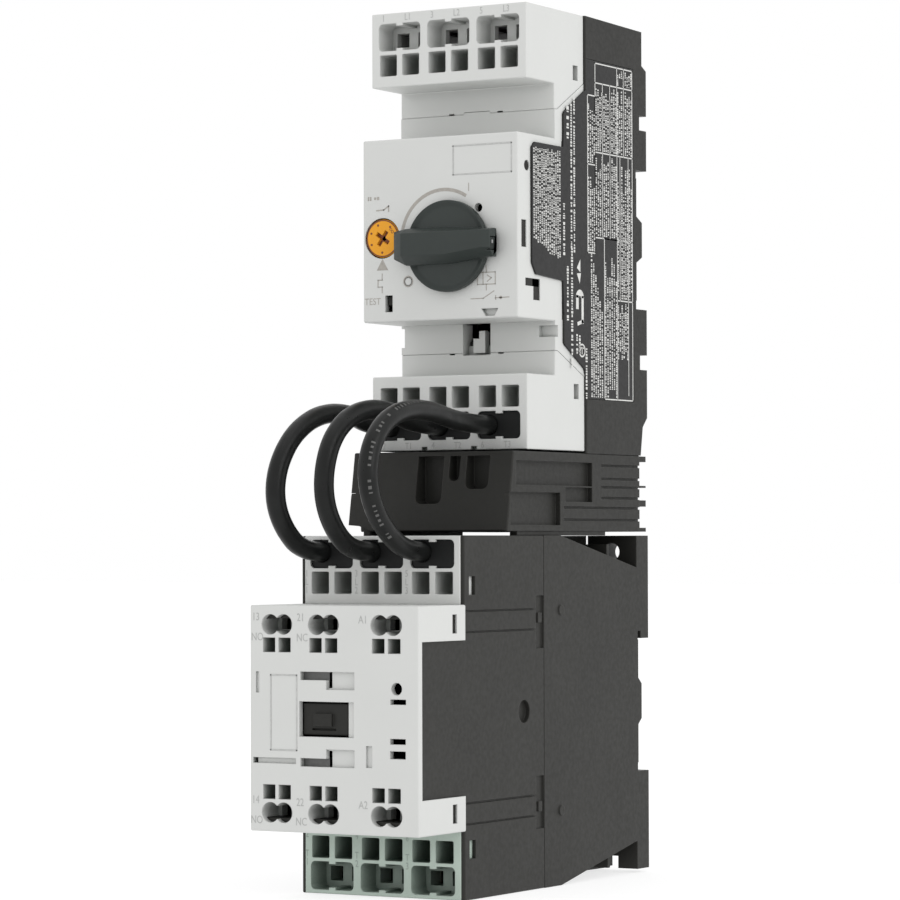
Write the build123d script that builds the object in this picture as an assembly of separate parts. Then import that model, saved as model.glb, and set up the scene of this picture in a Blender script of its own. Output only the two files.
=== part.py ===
from build123d import *
import math
import os

# A direct-on-line motor starter on a 35 mm DIN rail, in millimetres.
# X runs across the rail's length, Y from the front to the panel, Z up.
# The origin is the breaker's rail seat, at mid width and on the rail's centre line.
# "Depth" below is the distance forward of that seat, so a face at depth d lies at Y = -d.

# ---- rail -------------------------------------------------------------------------------
RAIL_HEIGHT = 35.0
RAIL_GAP = 0.3              # play above and below the rail's edge
RAIL_THICK = 1.0
BACK_DEPTH = -5.5           # rearmost plane of both devices
HOOK_BITE = 1.6             # how far a hook covers the rail's edge
HOOK_GAP = 0.3              # play between a hook and the back of the rail's edge

# ---- breaker ----------------------------------------------------------------------------
BREAKER_WIDTH = 44.0        # cover and terminal blocks
BASE_WIDTH = 45.0           # black base
BREAKER_TOP = 54.0
BREAKER_BOTTOM = -55.1
COLLAR_TOP = 22.1
COLLAR_HEIGHT = 45.0
COLLAR_DEPTH = 60.5
TERMINAL_DEPTH = 56.2
NECK_DEPTH = 42.2
NECK_REACH = 7.2            # neck visible above and below the collar
COVER_SEAT = 38.4           # cover meets the base here, behind the collar
BLOCK_SEAT = 27.2           # terminal blocks meet the base here
BLOCK_HEIGHT = 18.4
WING_WALL = 1.8             # slanted cover flange between a terminal block and the base
WALL = 1.8
EDGE = 0.45                 # moulded edge radius
PLATE_THICK = 0.5           # printed side plate
PLATE_CORNER = 1.4          # cut-off corner at the top of the plate's front arm

# ---- poles and push-in terminals -----------------------------------------------------------
POLES = 3
POLE_PITCH = 14.0
ENTRY_OFFSET = 3.05         # wire entry from its pole's middle
FUNNEL_WIDTH = 12.0
FUNNEL_HEIGHT = 6.8
FUNNEL_DEEP = 7.0
FUNNEL_NOTCH = 0.9          # half width of the bump between a funnel's two entries
FUNNEL_BUMP = 0.6
ENTRY_HOLE = 3.5
SLOT_OFFSET = 3.2           # release slot from its pole's middle
SLOT_WIDTH = 4.9
SLOT_HEIGHT = 5.3
SLOT_DEEP = 8.0
BREAKER_FUNNEL_IN = 6.0     # funnel centre from the block's outer end
BREAKER_SLOT_IN = 13.0
CONTACTOR_FUNNEL_IN = 4.35
CONTACTOR_SLOT_IN = 11.2

# ---- breaker controls ------------------------------------------------------------------------
HANDLE_X, HANDLE_Z = 3.0, -5.0
HANDLE_DISC_R = 11.2
HANDLE_DISC_THICK = 2.0
HANDLE_LIFT = 0.4           # handle disc stands off the collar face
HANDLE_BAR_HALF = 14.0
HANDLE_BAR_HEIGHT = 9.0
HANDLE_CREST = 5.0
HANDLE_BAR_DEPTH = 66.5
SHAFT_R = 3.0
SHAFT_GAP = 0.05
SHAFT_BOSS = 1.2            # wall of the tube round the shaft, behind the collar
LOCK_LENGTH, LOCK_WIDTH = 8.0, 3.0
DIAL_X, DIAL_Z, DIAL_R = -16.4, -2.2, 4.75
DIAL_THICK = 3.3
STAR_LENGTH = 4.2           # driver slot in the dial
DIAL_GAP = 0.25
TEST_X, TEST_Z = -14.55, -18.4
TEST_SLOT_WIDTH, TEST_SLOT_HEIGHT = 2.1, 4.1
TEST_TRAVEL = 1.6
CONTACT_TRAVEL = 4.0

# ---- link bracket and wires --------------------------------------------------------------------
LINK_HEIGHT = 19.4
LINK_TOP_DEPTH, LINK_BOTTOM_DEPTH = 64.0, 67.3
LINK_WIDTH = 45.0
LINK_WALL = 1.6
LINK_GAP = 1.0              # air between the link and the contactor
WIRE_D = 4.7
WIRE_IN = 2.0               # how far a wire's end stands inside its plug
PLUG_GAP = 0.1
PLUG_BACK = 0.6             # a plug's face lies this far behind the terminal face
BREAKER_WIRE_Z = -48.6
CONTACTOR_WIRE_Z = -79.4

# ---- contactor -----------------------------------------------------------------------------------
CONTACTOR_HEIGHT = 85.5
CONTACTOR_WIDTH = 45.1
CONTACTOR_RAIL = 42.0       # rail centre line below the contactor's top
BASE_SEAM = 49.3            # depth of the seam between base and body
CONTACTOR_FACE = 88.0       # depth of the main terminals' face
TERMINAL_HEIGHT = 16.4      # main terminal blocks, along Z
COVER_WIDTH = 46.3
COVER_HEIGHT = 53.0
COVER_DEPTH = 109.5
COVER_PLATE = 1.6
COVER_TAB = 8.3             # corner tabs that reach back over the body
CONTACTOR_WALL = 1.6
EAR_THICK = 6.3
FIX_HOLE_R = 2.25
FIX_HOLE_X = 15.4
FIX_HOLE_IN = 4.1           # from the contactor's top and bottom ends
ARMATURE_TRAVEL = 4.5
RUN_GAP = 0.4               # play round a sliding piece
WINDOW_X = (-9.4, 3.7)
WINDOW_HALF = 4.1

# ---- worked-out places ------------------------------------------------------------------------------
COLLAR_BOTTOM = COLLAR_TOP - COLLAR_HEIGHT
LINK_TOP = BREAKER_BOTTOM
LINK_BOTTOM = LINK_TOP - LINK_HEIGHT
C_TOP = LINK_BOTTOM - LINK_GAP
C_BOTTOM = C_TOP - CONTACTOR_HEIGHT
C_MID = (C_TOP + C_BOTTOM) / 2
C_RAIL = C_TOP - CONTACTOR_RAIL
POLE_X = [POLE_PITCH * (i - (POLES - 1) / 2) for i in range(POLES)]
POLE_GAPS = [(a + b) / 2 for a, b in zip(POLE_X, POLE_X[1:])]
SIDE = BREAKER_WIDTH / 2
C_SIDE = CONTACTOR_WIDTH / 2

# ---- rail recess and clips -----------------------------------------------------------------------
SEAT_RELIEF = 0.3           # the seat steps back behind the rail's edges, under the hooks
KEY_SHORT = 5.0
KEY_HALF = 4.4              # middle rib that reaches into the rail's trough
KEY_SLOPE = 1.5
HOOK_FRONT = -(RAIL_THICK + HOOK_GAP)
CLIP_HALF = 7.0
CLIP_THICK = 2.2
CLIP_LENGTH = 26.0
CLIP_TRAVEL = 3.0
CLIP_DEPTH = (BACK_DEPTH + 0.9, BACK_DEPTH + 0.9 + CLIP_THICK)

# ---- breaker shell details -----------------------------------------------------------------------
GROOVE_HALF = 1.9           # cross grooves in the back, for a pulling tool
GROOVE_DEEP = 3.8
UPPER_GROOVE, LOWER_GROOVE = 30.0, -31.3
STEP_TOP, STEP_BOTTOM = 44.7, -45.4
STEP_IN = 2.4
PARTITION = 1.2
BASE_FLOOR = 1.5            # inside floor of the breaker's base
PLATE_REAR = 1.6
MARKER_X = (3.7, 20.3)
MARKER_Z = (COLLAR_TOP - 9.8, COLLAR_TOP - 2.5)
MARKER_THICK = 0.35
NECK_SLOT_X = (-4.2, 3.7)
SEAM_TAB = (-3.7, 3.7)      # tab of the front cover that reaches into the upper terminal block
SEAM_STEP = 0.5
GAP_NOTCH = 0.8             # half width of the notches between the poles
SEAM_MARKS = [(-8.1, -6.5), (5.8, 7.4)]

# ---- clamps and breaker inside -------------------------------------------------------------------
CLAMP_THICK = 0.5
CLAMP_HALF = 2.0
CLAMP_GAP = 2.6
CLAMP_BACK = 8.0            # the clamps' back strip in front of the blocks' seat
LOCK_HEIGHT = 2.6
LOCK_GAP = 0.3
LOCK_COVER = 1.4            # wall of the bar in front of the lock slide
LOCK_TRAVEL = 5.0
SHAFT_BACK = 30.0
FIXED_DEPTH = (16.0, 17.2)
BRIDGE_THICK = 1.0
CONTACT_REACH = 6.5         # contact pads from the middle of the bridge
CARRIER_DEPTH = (22.6, 26.6)
TRIP_PIVOT = (36.0, -17.0)

# ---- link and wire details -----------------------------------------------------------------------
LINK_POCKET = 1.4
LINK_WINDOW = 3.0
LINK_WINDOWS = [
    ((-3.9, 3.4), (1.1, 12.7)),
    ((5.0, 8.0), (1.1, 7.2)),
    ((9.8, 16.2), (1.1, 9.2)),
]
LINK_GROOVES = [(2.9, 19.5), (6.2, 19.5), (8.3, 19.5), (11.0, 19.5), (13.5, 39.0), (16.5, 39.0)]
LINK_SKIRT = (16.0, 61.0)   # depth range of the two rails that stand on the contactor
WIRE_START = TERMINAL_DEPTH - PLUG_BACK - WIRE_IN
WIRE_END = CONTACTOR_FACE - PLUG_BACK - WIRE_IN
PLACES = ["left", "middle", "right"]
ROUTES = [                  # (depth, z) points of the left, middle and right wire
    [
        (WIRE_START, BREAKER_WIRE_Z), (65.0, BREAKER_WIRE_Z), (76.0, -45.6), (89.0, -46.3), (100.0, -51.2),
        (106.8, -58.8), (108.4, -66.6), (104.6, -73.6), (96.0, CONTACTOR_WIRE_Z),
        (WIRE_END, CONTACTOR_WIRE_Z),
    ],
    [
        (WIRE_START, BREAKER_WIRE_Z), (67.0, BREAKER_WIRE_Z), (82.0, -44.9), (95.2, -46.2), (104.6, -51.8),
        (108.8, -60.2), (108.4, -68.4), (103.0, -75.4), (95.0, CONTACTOR_WIRE_Z),
        (WIRE_END, CONTACTOR_WIRE_Z),
    ],
    [
        (WIRE_START, BREAKER_WIRE_Z), (69.0, BREAKER_WIRE_Z), (86.0, -45.3), (100.0, -46.7), (109.0, -52.3),
        (112.5, -60.6), (109.8, -69.0), (103.0, -75.2), (94.0, CONTACTOR_WIRE_Z),
        (WIRE_END, CONTACTOR_WIRE_Z),
    ],
]

# ---- contactor shell details ---------------------------------------------------------------------
BASE_TAPER_DEPTH = 40.8     # the base narrows behind this depth
BASE_NARROW = 8.1           # by this much at its top and bottom
EAR_INSIDE = 0.8            # front face of the fixing ears, as a depth
SEAT_FLOOR = 2.4
TOWER_WALL = 1.4
COVER_TOP = C_MID + COVER_HEIGHT / 2
COVER_BOTTOM = C_MID - COVER_HEIGHT / 2
TOWER_DEPTH = COVER_DEPTH - COVER_PLATE - 0.1
SEAM_IN = 18.0              # side seam lines from the contactor's ends
LATCH_Z = 21.8              # middle of a latch window from the contactor's middle
TERMINAL_SKIN = 0.9
CARRIER_HALF_Z = 9.0
AUX_X = [-15.65, -2.75, 14.4]
AUX_HOLE_R = 2.4
AUX_HOLE_PITCH = 3.7
AUX_HOLE_DEEP = 7.0
AUX_HOLE_Z = 22.0           # from the cover's middle
AUX_SLOT = 3.4
AUX_SLOT_PITCH = 4.3
AUX_SLOT_Z = 17.2
BOSS_BACK = 9.5             # depth of the terminal bosses behind the cover's face
RECESS_Z = 9.0              # latch recesses from the window's middle
TONGUE_END = -2.0           # right end of the latch tongues above and below the window
C_MARKER_X = (-17.5, -10.0)
C_MARKER_Z = (-7.5, 10.3)

# ---- contactor inside ----------------------------------------------------------------------------
CORE_BACK = 5.0
CORE_YOKE = 6.0
CORE_LEG = 18.0             # from the back of the core to its pole faces
CORE_HALF_X = 8.0
LEG_HALF = 3.2
OUTER_LEG = (11.5, 15.0)
CARRIER_TOP = 102.0
BOBBIN_WALL = 1.0
BRIDGE_DEPTH = 70.0
ARMATURE_FACE = CORE_BACK + CORE_LEG + ARMATURE_TRAVEL + 0.1
ARMATURE_BACK = ARMATURE_FACE + 16.0
COIL_FRONT = ARMATURE_BACK - CORE_YOKE - ARMATURE_TRAVEL - RUN_GAP
SPRING_X = 12.5
SPRING_R = 2.2
STEM_X = -2.85
CARRIER_REAR = 9.0          # carrier's cross bar behind the bridges
AUX_BRIDGE_DEPTH = 88.0
AUX_BRIDGE_X = [-9.4, 9.4]
C_BRIDGE_REACH = 12.5
FIXED_TOP = BRIDGE_DEPTH - ARMATURE_TRAVEL - 0.05

parts = {}


# ---- helpers --------------------------------------------------------------------------------------------

def slab(x, depth, z):
    """A box between two values of x, of depth and of z."""
    size = (x[1] - x[0], depth[1] - depth[0], z[1] - z[0])
    return Pos((x[0] + x[1]) / 2, -(depth[0] + depth[1]) / 2, (z[0] + z[1]) / 2) * Box(*size)


def wide(half, depth, z, middle=0.0):
    """A box that reaches the same distance each side of a middle in x."""
    return slab((middle - half, middle + half), depth, z)


def side_prism(points, x):
    """A (depth, z) outline extruded between two values of x."""
    plane = Plane(origin=(x[1], 0, 0), x_dir=(0, -1, 0), z_dir=(-1, 0, 0))
    face = make_face(plane * Polyline(*points, close=True))
    return extrude(face, amount=x[1] - x[0], dir=(-1, 0, 0))


def front_prism(points, depth):
    """An (x, z) outline extruded between two depths."""
    plane = Plane(origin=(0, -depth[0], 0), x_dir=(1, 0, 0), z_dir=(0, -1, 0))
    face = make_face(plane * Polyline(*points, close=True))
    return extrude(face, amount=depth[1] - depth[0], dir=(0, -1, 0))


def rod(x, z, radius, depth):
    """A round bar along Y between two depths."""
    length = depth[1] - depth[0]
    return Pos(x, -(depth[0] + depth[1]) / 2, z) * Rot(90, 0, 0) * Cylinder(radius, length)


def cross_rod(depth, z, radius, x):
    """A round bar along X."""
    return Pos((x[0] + x[1]) / 2, -depth, z) * Rot(0, 90, 0) * Cylinder(radius, x[1] - x[0])


def soft(shape, radius=EDGE):
    """Round every edge of a moulding."""
    return fillet(shape.edges(), radius)


def fuse(pieces):
    """One shape from several that touch or overlap."""
    whole = pieces[0]
    for piece in pieces[1:]:
        whole = whole + piece
    return whole


def cut(whole, pieces):
    """Take several shapes out of one."""
    for piece in pieces:
        whole = whole - piece
    return whole


def span(a, b):
    """Two values in rising order."""
    return (min(a, b), max(a, b))


def double_entry(x, z, depth, grow=0.0):
    """Two rounded square wire entries side by side, with a notch above and below where they meet."""
    half_w, half_h = FUNNEL_WIDTH / 2 + grow, FUNNEL_HEIGHT / 2 + grow
    body = wide(half_w, depth, (z - half_h, z + half_h), x)
    ends = [e for e in body.edges().filter_by(Axis.Y)]
    body = fillet(ends, 1.2 + grow)
    for side in (-1, 1):
        edge = span(z + side * half_h, z + side * (half_h - FUNNEL_BUMP))
        notch = wide(FUNNEL_NOTCH - grow, depth, edge, x)
        body = body - notch
    return body


def pole_cuts(x, face, funnel_z, slot_z, back):
    """What one pole takes out of its terminal block: funnel, two wire holes and two release slots."""
    cuts = [double_entry(x, funnel_z, (face - FUNNEL_DEEP, face + 1))]
    half = ENTRY_HOLE / 2
    for side in (-1, 1):
        entry = x + side * ENTRY_OFFSET
        hole = (back, face - FUNNEL_DEEP + 0.5)
        cuts.append(wide(half, hole, (funnel_z - half, funnel_z + half), entry))
        slot = x + side * SLOT_OFFSET
        tall = (slot_z - SLOT_HEIGHT / 2, slot_z + SLOT_HEIGHT / 2)
        opening = wide(SLOT_WIDTH / 2, (face - SLOT_DEEP, face + 1), tall, slot)
        cuts.append(fillet(opening.edges().filter_by(Axis.Y), 0.4))
    return cuts


def spring_clamps(face, funnel_z, slot_z, back):
    """Six push-in clamps: a bent strip behind each entry, pressed open through its release slot."""
    front = face - FUNNEL_DEEP - CLAMP_GAP
    toward = 1 if slot_z > funnel_z else -1
    entry_edge = funnel_z - toward * (ENTRY_HOLE / 2 + CLAMP_THICK)
    slot_edge = slot_z + toward * 1.0
    outline = [
        (back, entry_edge),
        (back, slot_edge),
        (back + CLAMP_THICK, slot_edge),
        (back + CLAMP_THICK, entry_edge + toward * CLAMP_THICK),
        (front, entry_edge + toward * CLAMP_THICK),
        (front, entry_edge),
    ]
    strips = []
    for x in POLE_X:
        for side in (-1, 1):
            middle = x + side * ENTRY_OFFSET
            strips.append(side_prism(outline, (middle - CLAMP_HALF, middle + CLAMP_HALF)))
    return Compound(children=strips)


# ---- breaker housing -----------------------------------------------------------------------------

def rail_back(rail_z, top, bottom, front, key_depth, slope=0.0):
    """The rear outline of a base, from its top to its bottom, with the rail recess in it."""
    up = rail_z + RAIL_HEIGHT / 2 + RAIL_GAP
    down = rail_z - RAIL_HEIGHT / 2 - RAIL_GAP
    seat_half = RAIL_HEIGHT / 2 - HOOK_BITE - SEAT_RELIEF
    return [
        (front, top),
        (BACK_DEPTH, top - slope),
        (BACK_DEPTH, up),
        (SEAT_RELIEF, up),
        (SEAT_RELIEF, rail_z + seat_half),
        (0, rail_z + seat_half),
        (0, rail_z + KEY_HALF + KEY_SLOPE),
        (-key_depth, rail_z + KEY_HALF),
        (-key_depth, rail_z - KEY_HALF),
        (0, rail_z - KEY_HALF - KEY_SLOPE),
        (0, rail_z - seat_half),
        (SEAT_RELIEF, rail_z - seat_half),
        (SEAT_RELIEF, down),
        (BACK_DEPTH, down),
        (BACK_DEPTH, bottom + slope),
        (front, bottom),
    ]


def key_relief(rail_z):
    """Room at the left end of the middle rib, where the rail's seat runs on from top to bottom."""
    reach = KEY_HALF + KEY_SLOPE + 0.1
    left = -CONTACTOR_WIDTH / 2
    return slab((left - 1, left + KEY_SHORT), (BACK_DEPTH, 0), (rail_z - reach, rail_z + reach))


def breaker_base():
    """Black shell that carries the poles and sits on the rail."""
    half = BASE_WIDTH / 2
    outline = rail_back(0.0, BREAKER_TOP, BREAKER_BOTTOM, BLOCK_SEAT, 3.0)
    outline[1] = (BACK_DEPTH + STEP_IN, BREAKER_TOP - 0.6)
    outline.insert(2, (BACK_DEPTH + STEP_IN, STEP_TOP))
    outline.insert(3, (BACK_DEPTH, STEP_TOP - STEP_IN / 2))
    outline[-2] = (BACK_DEPTH, STEP_BOTTOM)
    outline.insert(-1, (BACK_DEPTH + STEP_IN, STEP_BOTTOM - STEP_IN))
    outline.insert(-1, (BACK_DEPTH + STEP_IN + 1.2, BREAKER_BOTTOM))
    outline += [
        (BLOCK_SEAT, COLLAR_BOTTOM - NECK_REACH - 4.1),
        (COVER_SEAT, COLLAR_BOTTOM - NECK_REACH + 1.9),
        (COVER_SEAT, COLLAR_TOP + NECK_REACH - 0.8),
        (BLOCK_SEAT, COLLAR_TOP + NECK_REACH + 5.8),
    ]
    body = side_prism(outline, (-half, half))
    corners = [e for e in body.edges().filter_by(Axis.Z) if abs(e.center().Y + BLOCK_SEAT) < 0.1]
    body = fillet(corners, EDGE)
    floor = BASE_FLOOR
    inner = side_prism(
        [
            (floor, BREAKER_TOP - WALL),
            (floor, BREAKER_BOTTOM + WALL),
            (BLOCK_SEAT + 1, BREAKER_BOTTOM + WALL),
            (BLOCK_SEAT + 1, COLLAR_BOTTOM - NECK_REACH - 2.5),
            (COVER_SEAT + 1, COLLAR_BOTTOM - NECK_REACH + 3.5),
            (COVER_SEAT + 1, COLLAR_TOP + NECK_REACH - 2.6),
            (BLOCK_SEAT + 1, COLLAR_TOP + NECK_REACH + 4.0),
            (BLOCK_SEAT + 1, BREAKER_TOP - WALL),
        ],
        (-half + WALL, half - WALL),
    )
    body = body - inner
    for x in (-POLE_PITCH / 2, POLE_PITCH / 2):
        for z in ((8.0, BREAKER_TOP - WALL), (BREAKER_BOTTOM + WALL, -8.0)):
            body = body + wide(PARTITION / 2, (floor - 0.5, BLOCK_SEAT - 4), z, x)
    grooves = []
    for z in (UPPER_GROOVE, LOWER_GROOVE):
        grooves.append(
            wide(half + 1, (BACK_DEPTH - 1, BACK_DEPTH + GROOVE_DEEP), (z - GROOVE_HALF, z + GROOVE_HALF))
        )
    down = -RAIL_HEIGHT / 2 - RAIL_GAP
    channel_bottom = down - CLIP_LENGTH - CLIP_TRAVEL + HOOK_BITE
    channel = (BACK_DEPTH - 1, CLIP_DEPTH[1] + 0.2)
    grooves.append(wide(CLIP_HALF + 0.3, channel, (channel_bottom, down + 1)))
    recess = PLATE_THICK
    plate = side_prism(plate_outline(0.0), (half - recess, half + 1))
    body = cut(body, grooves + [plate, key_relief(0.0)])
    up = RAIL_HEIGHT / 2 + RAIL_GAP
    for x in (-14.0, 14.0):
        hook = wide(3.5, (BACK_DEPTH, HOOK_FRONT), (RAIL_HEIGHT / 2 - HOOK_BITE, up + 0.5), x)
        body = body + hook
    return body


def plate_outline(grow):
    """Outline of the printed side plate, in (depth, z)."""
    front = COLLAR_DEPTH - 5.9
    return [
        (front - PLATE_CORNER + grow, COLLAR_TOP - 1.8 + grow),
        (front + grow, COLLAR_TOP - 1.8 - PLATE_CORNER + grow),
        (front + grow, COLLAR_BOTTOM + 13.6),
        (front - 2.1, COLLAR_BOTTOM + 10.9),
        (COVER_SEAT + 0.4, COLLAR_BOTTOM + 9.9 - grow),
        (COVER_SEAT - 0.4, COLLAR_BOTTOM - 5.8 - grow),
        (BLOCK_SEAT + 0.8, COLLAR_BOTTOM - 11.3 - grow),
        (BLOCK_SEAT - 0.6, COLLAR_BOTTOM - 14.0 - grow),
        (BLOCK_SEAT - 0.6, COLLAR_BOTTOM - 18.7 - grow),
        (PLATE_REAR - grow, COLLAR_BOTTOM - 18.7 - grow),
        (PLATE_REAR - grow, COLLAR_TOP + 21.3 + grow),
        (BLOCK_SEAT - 0.6, COLLAR_TOP + 21.3 + grow),
        (BLOCK_SEAT - 0.6, COLLAR_TOP + 13.6),
        (COVER_SEAT - 0.3, COLLAR_TOP + 7.0 + grow),
        (COVER_SEAT + 0.2, COLLAR_TOP - 1.8 + grow),
    ]


def side_plate():
    """Printed label plate on the right side of the breaker."""
    half = BASE_WIDTH / 2
    return side_prism(plate_outline(-0.15), (half - PLATE_THICK, half))


def collar_holes():
    """Cut-outs in the breaker's front: dial, shaft, test slot and latch notch."""
    front = COLLAR_DEPTH + 1
    back = COLLAR_DEPTH - WALL - 1
    notch_low = COLLAR_BOTTOM + 0.6
    notch = front_prism(
        [(11.7, notch_low + 1.8), (16.4, notch_low + 1.8), (15.3, notch_low), (12.8, notch_low)],
        (COLLAR_DEPTH - 1.2, front),
    )
    return [
        rod(DIAL_X, DIAL_Z, DIAL_R + DIAL_GAP, (COLLAR_DEPTH - DIAL_THICK - DIAL_GAP, front)),
        rod(HANDLE_X, HANDLE_Z, SHAFT_R + SHAFT_GAP, (back, front)),
        rod(10.9, HANDLE_Z + 9.1, 1.1, (back, front)),
        rod(-9.0, HANDLE_Z - 8.1, 1.4, (COLLAR_DEPTH - 0.3, front))
        - rod(-9.0, HANDLE_Z - 8.1, 0.9, (back, front)),
        wide(
            TEST_SLOT_WIDTH / 2,
            (back, front),
            (TEST_Z - TEST_SLOT_HEIGHT / 2, TEST_Z + TEST_SLOT_HEIGHT / 2),
            TEST_X,
        ),
        notch,
        slab(MARKER_X, (COLLAR_DEPTH - MARKER_THICK, front), MARKER_Z),
    ]


def breaker_front_cover():
    """Light grey cover: the 45 mm collar, its necks and the slanted flanges at both ends."""
    half = SIDE
    collar = soft(wide(half, (COVER_SEAT, COLLAR_DEPTH), (COLLAR_BOTTOM, COLLAR_TOP)))
    hollow = wide(
        half - WALL, (COVER_SEAT - 1, COLLAR_DEPTH - WALL), (COLLAR_BOTTOM + WALL, COLLAR_TOP - WALL)
    )
    body = collar - hollow
    for sign, edge in ((1, COLLAR_TOP), (-1, COLLAR_BOTTOM)):
        neck_end = edge + sign * NECK_REACH
        base_turn = (COVER_SEAT, neck_end - sign * (0.8 if sign > 0 else 1.9))
        base_foot = (BLOCK_SEAT, neck_end + sign * (5.8 if sign > 0 else 4.1))
        flange = side_prism(
            [
                base_turn,
                base_foot,
                (BLOCK_SEAT, base_foot[1] + sign * WING_WALL),
                (NECK_DEPTH - 1.3, neck_end),
                (NECK_DEPTH, neck_end),
                (NECK_DEPTH, edge - sign * 0.5),
                (COVER_SEAT, edge - sign * 0.5),
            ],
            (-half, half),
        )
        room = side_prism(
            [
                (COVER_SEAT - 1, edge - sign * (WALL + 0.5)),
                (NECK_DEPTH - WALL, edge - sign * (WALL + 0.5)),
                (NECK_DEPTH - WALL, neck_end - sign * WALL),
                (COVER_SEAT - 1, base_turn[1] - sign * 0.1),
            ],
            (-half + WALL, half - WALL),
        )
        body = body + flange - room
    upper_seam, lower_seam = COLLAR_TOP + NECK_REACH, COLLAR_BOTTOM - NECK_REACH
    slot_z = (lower_seam - 1, COLLAR_BOTTOM + 0.1)
    neck_slot = slab(NECK_SLOT_X, (NECK_DEPTH - 3.0, NECK_DEPTH + 1), slot_z)
    post = (NECK_DEPTH - 3.4, NECK_DEPTH - 1.2)
    slot_side = (NECK_SLOT_X[0] - 1.0, NECK_SLOT_X[0])
    neck_details = [
        slab((-0.2, 1.5), post, (lower_seam, COLLAR_BOTTOM - 1.7)),
        slab((-1.9, 1.5), post, (lower_seam, COLLAR_BOTTOM - 3.6)),
        slab(slot_side, (NECK_DEPTH - 4.8, NECK_DEPTH - WALL + 0.1), (lower_seam + 0.5, COLLAR_BOTTOM)),
        slab(SEAM_TAB, (NECK_DEPTH - WALL, NECK_DEPTH), (upper_seam - 0.2, upper_seam + SEAM_STEP)),
    ]
    shallow = (NECK_DEPTH - 1.5, NECK_DEPTH + 1)
    corner = slab((17.4, 23), shallow, (COLLAR_BOTTOM - 3.8, COLLAR_BOTTOM - 1.0))
    left_corner = slab((-23, -20.9), shallow, (lower_seam + 1.8, COLLAR_BOTTOM - 0.6))
    right = half - WALL - 1
    side_marks = [
        cross_rod(COLLAR_DEPTH - 4.3, COLLAR_TOP - 7.9, 1.3, (right, half + 1)),
        slab((right, half + 1), (COLLAR_DEPTH - 4.0, COLLAR_DEPTH - 1.6), (HANDLE_Z - 0.7, HANDLE_Z + 5.9)),
        slab(
            (right, half + 1),
            (COLLAR_DEPTH - 10.7, COLLAR_DEPTH - 7.4),
            (COLLAR_BOTTOM + 4.6, COLLAR_BOTTOM + 9.8),
        ),
        slab(
            (right, half + 1),
            (COLLAR_DEPTH - 10.7, COLLAR_DEPTH - 3.5),
            (COLLAR_BOTTOM + 7.9, COLLAR_BOTTOM + 9.8),
        ),
    ]
    bosses = [
        rod(HANDLE_X, HANDLE_Z, SHAFT_R + SHAFT_BOSS, (COLLAR_DEPTH - 8, COLLAR_DEPTH - WALL)),
    ]
    body = fuse([body] + bosses)
    cuts = collar_holes() + [
        neck_slot,
        corner,
        left_corner,
        rod(HANDLE_X, HANDLE_Z, SHAFT_R + SHAFT_GAP, (COVER_SEAT, COLLAR_DEPTH)),
    ]
    return fuse([cut(body, cuts + side_marks)] + neck_details)


def breaker_terminals(end, sign):
    """Light grey terminal block at the breaker's top (sign 1) or bottom (sign -1)."""
    neck_end = (COLLAR_TOP if sign > 0 else COLLAR_BOTTOM) + sign * NECK_REACH
    foot = neck_end + sign * ((5.8 if sign > 0 else 4.1) + WING_WALL)
    inner_end = end - sign * BLOCK_HEIGHT
    outline = [
        (TERMINAL_DEPTH, end),
        (BLOCK_SEAT, end),
        (BLOCK_SEAT, foot),
        (NECK_DEPTH - 1.3, neck_end),
        (NECK_DEPTH, neck_end),
        (NECK_DEPTH, inner_end),
        (TERMINAL_DEPTH, inner_end),
    ]
    body = soft(side_prism(outline, (-SIDE, SIDE)), 0.3)
    room_z = span(end - sign * WALL, end - sign * (BLOCK_HEIGHT - WALL))
    back = BLOCK_SEAT - 1
    front = TERMINAL_DEPTH - SLOT_DEEP - 1.0
    room = wide(SIDE - WALL, (BLOCK_SEAT + 6, front), room_z)
    door = wide(SIDE - WALL, (back, BLOCK_SEAT + 7), span(end - sign * WALL, foot + sign * WALL))
    body = body - room - door
    funnel_z = end - sign * BREAKER_FUNNEL_IN
    slot_z = end - sign * BREAKER_SLOT_IN
    cuts = []
    for x in POLE_X:
        cuts += pole_cuts(x, TERMINAL_DEPTH, funnel_z, slot_z, front - 1)
    if sign < 0:
        for x in POLE_GAPS:
            gap = (x - GAP_NOTCH, x + GAP_NOTCH)
            cuts.append(slab(gap, (TERMINAL_DEPTH - 1.5, TERMINAL_DEPTH + 1), (end - 1, end + 0.9)))
    steps = [(SEAM_TAB if sign > 0 else NECK_SLOT_X, SEAM_STEP + 0.1)]
    skin = (NECK_DEPTH - WALL - 0.1, NECK_DEPTH + 1)
    for x, step in steps + [(mark, 0.4) for mark in SEAM_MARKS]:
        cuts.append(slab(x, skin, span(neck_end - sign, neck_end + sign * step)))
    for side in (-1, 1):
        vent = span(side * (SIDE - WALL - 1), side * (SIDE + 1))
        cuts.append(
            slab(vent, (BLOCK_SEAT + 3.0, BLOCK_SEAT + 5.5), span(end - sign * 12.9, end - sign * 16.6))
        )
    return cut(body, cuts)


def breaker_clamps(end, sign):
    """Push-in clamps inside one of the breaker's terminal blocks."""
    funnel_z = end - sign * BREAKER_FUNNEL_IN
    slot_z = end - sign * BREAKER_SLOT_IN
    return spring_clamps(TERMINAL_DEPTH, funnel_z, slot_z, BLOCK_SEAT + CLAMP_BACK)


# ---- breaker controls ----------------------------------------------------------------------------

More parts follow.
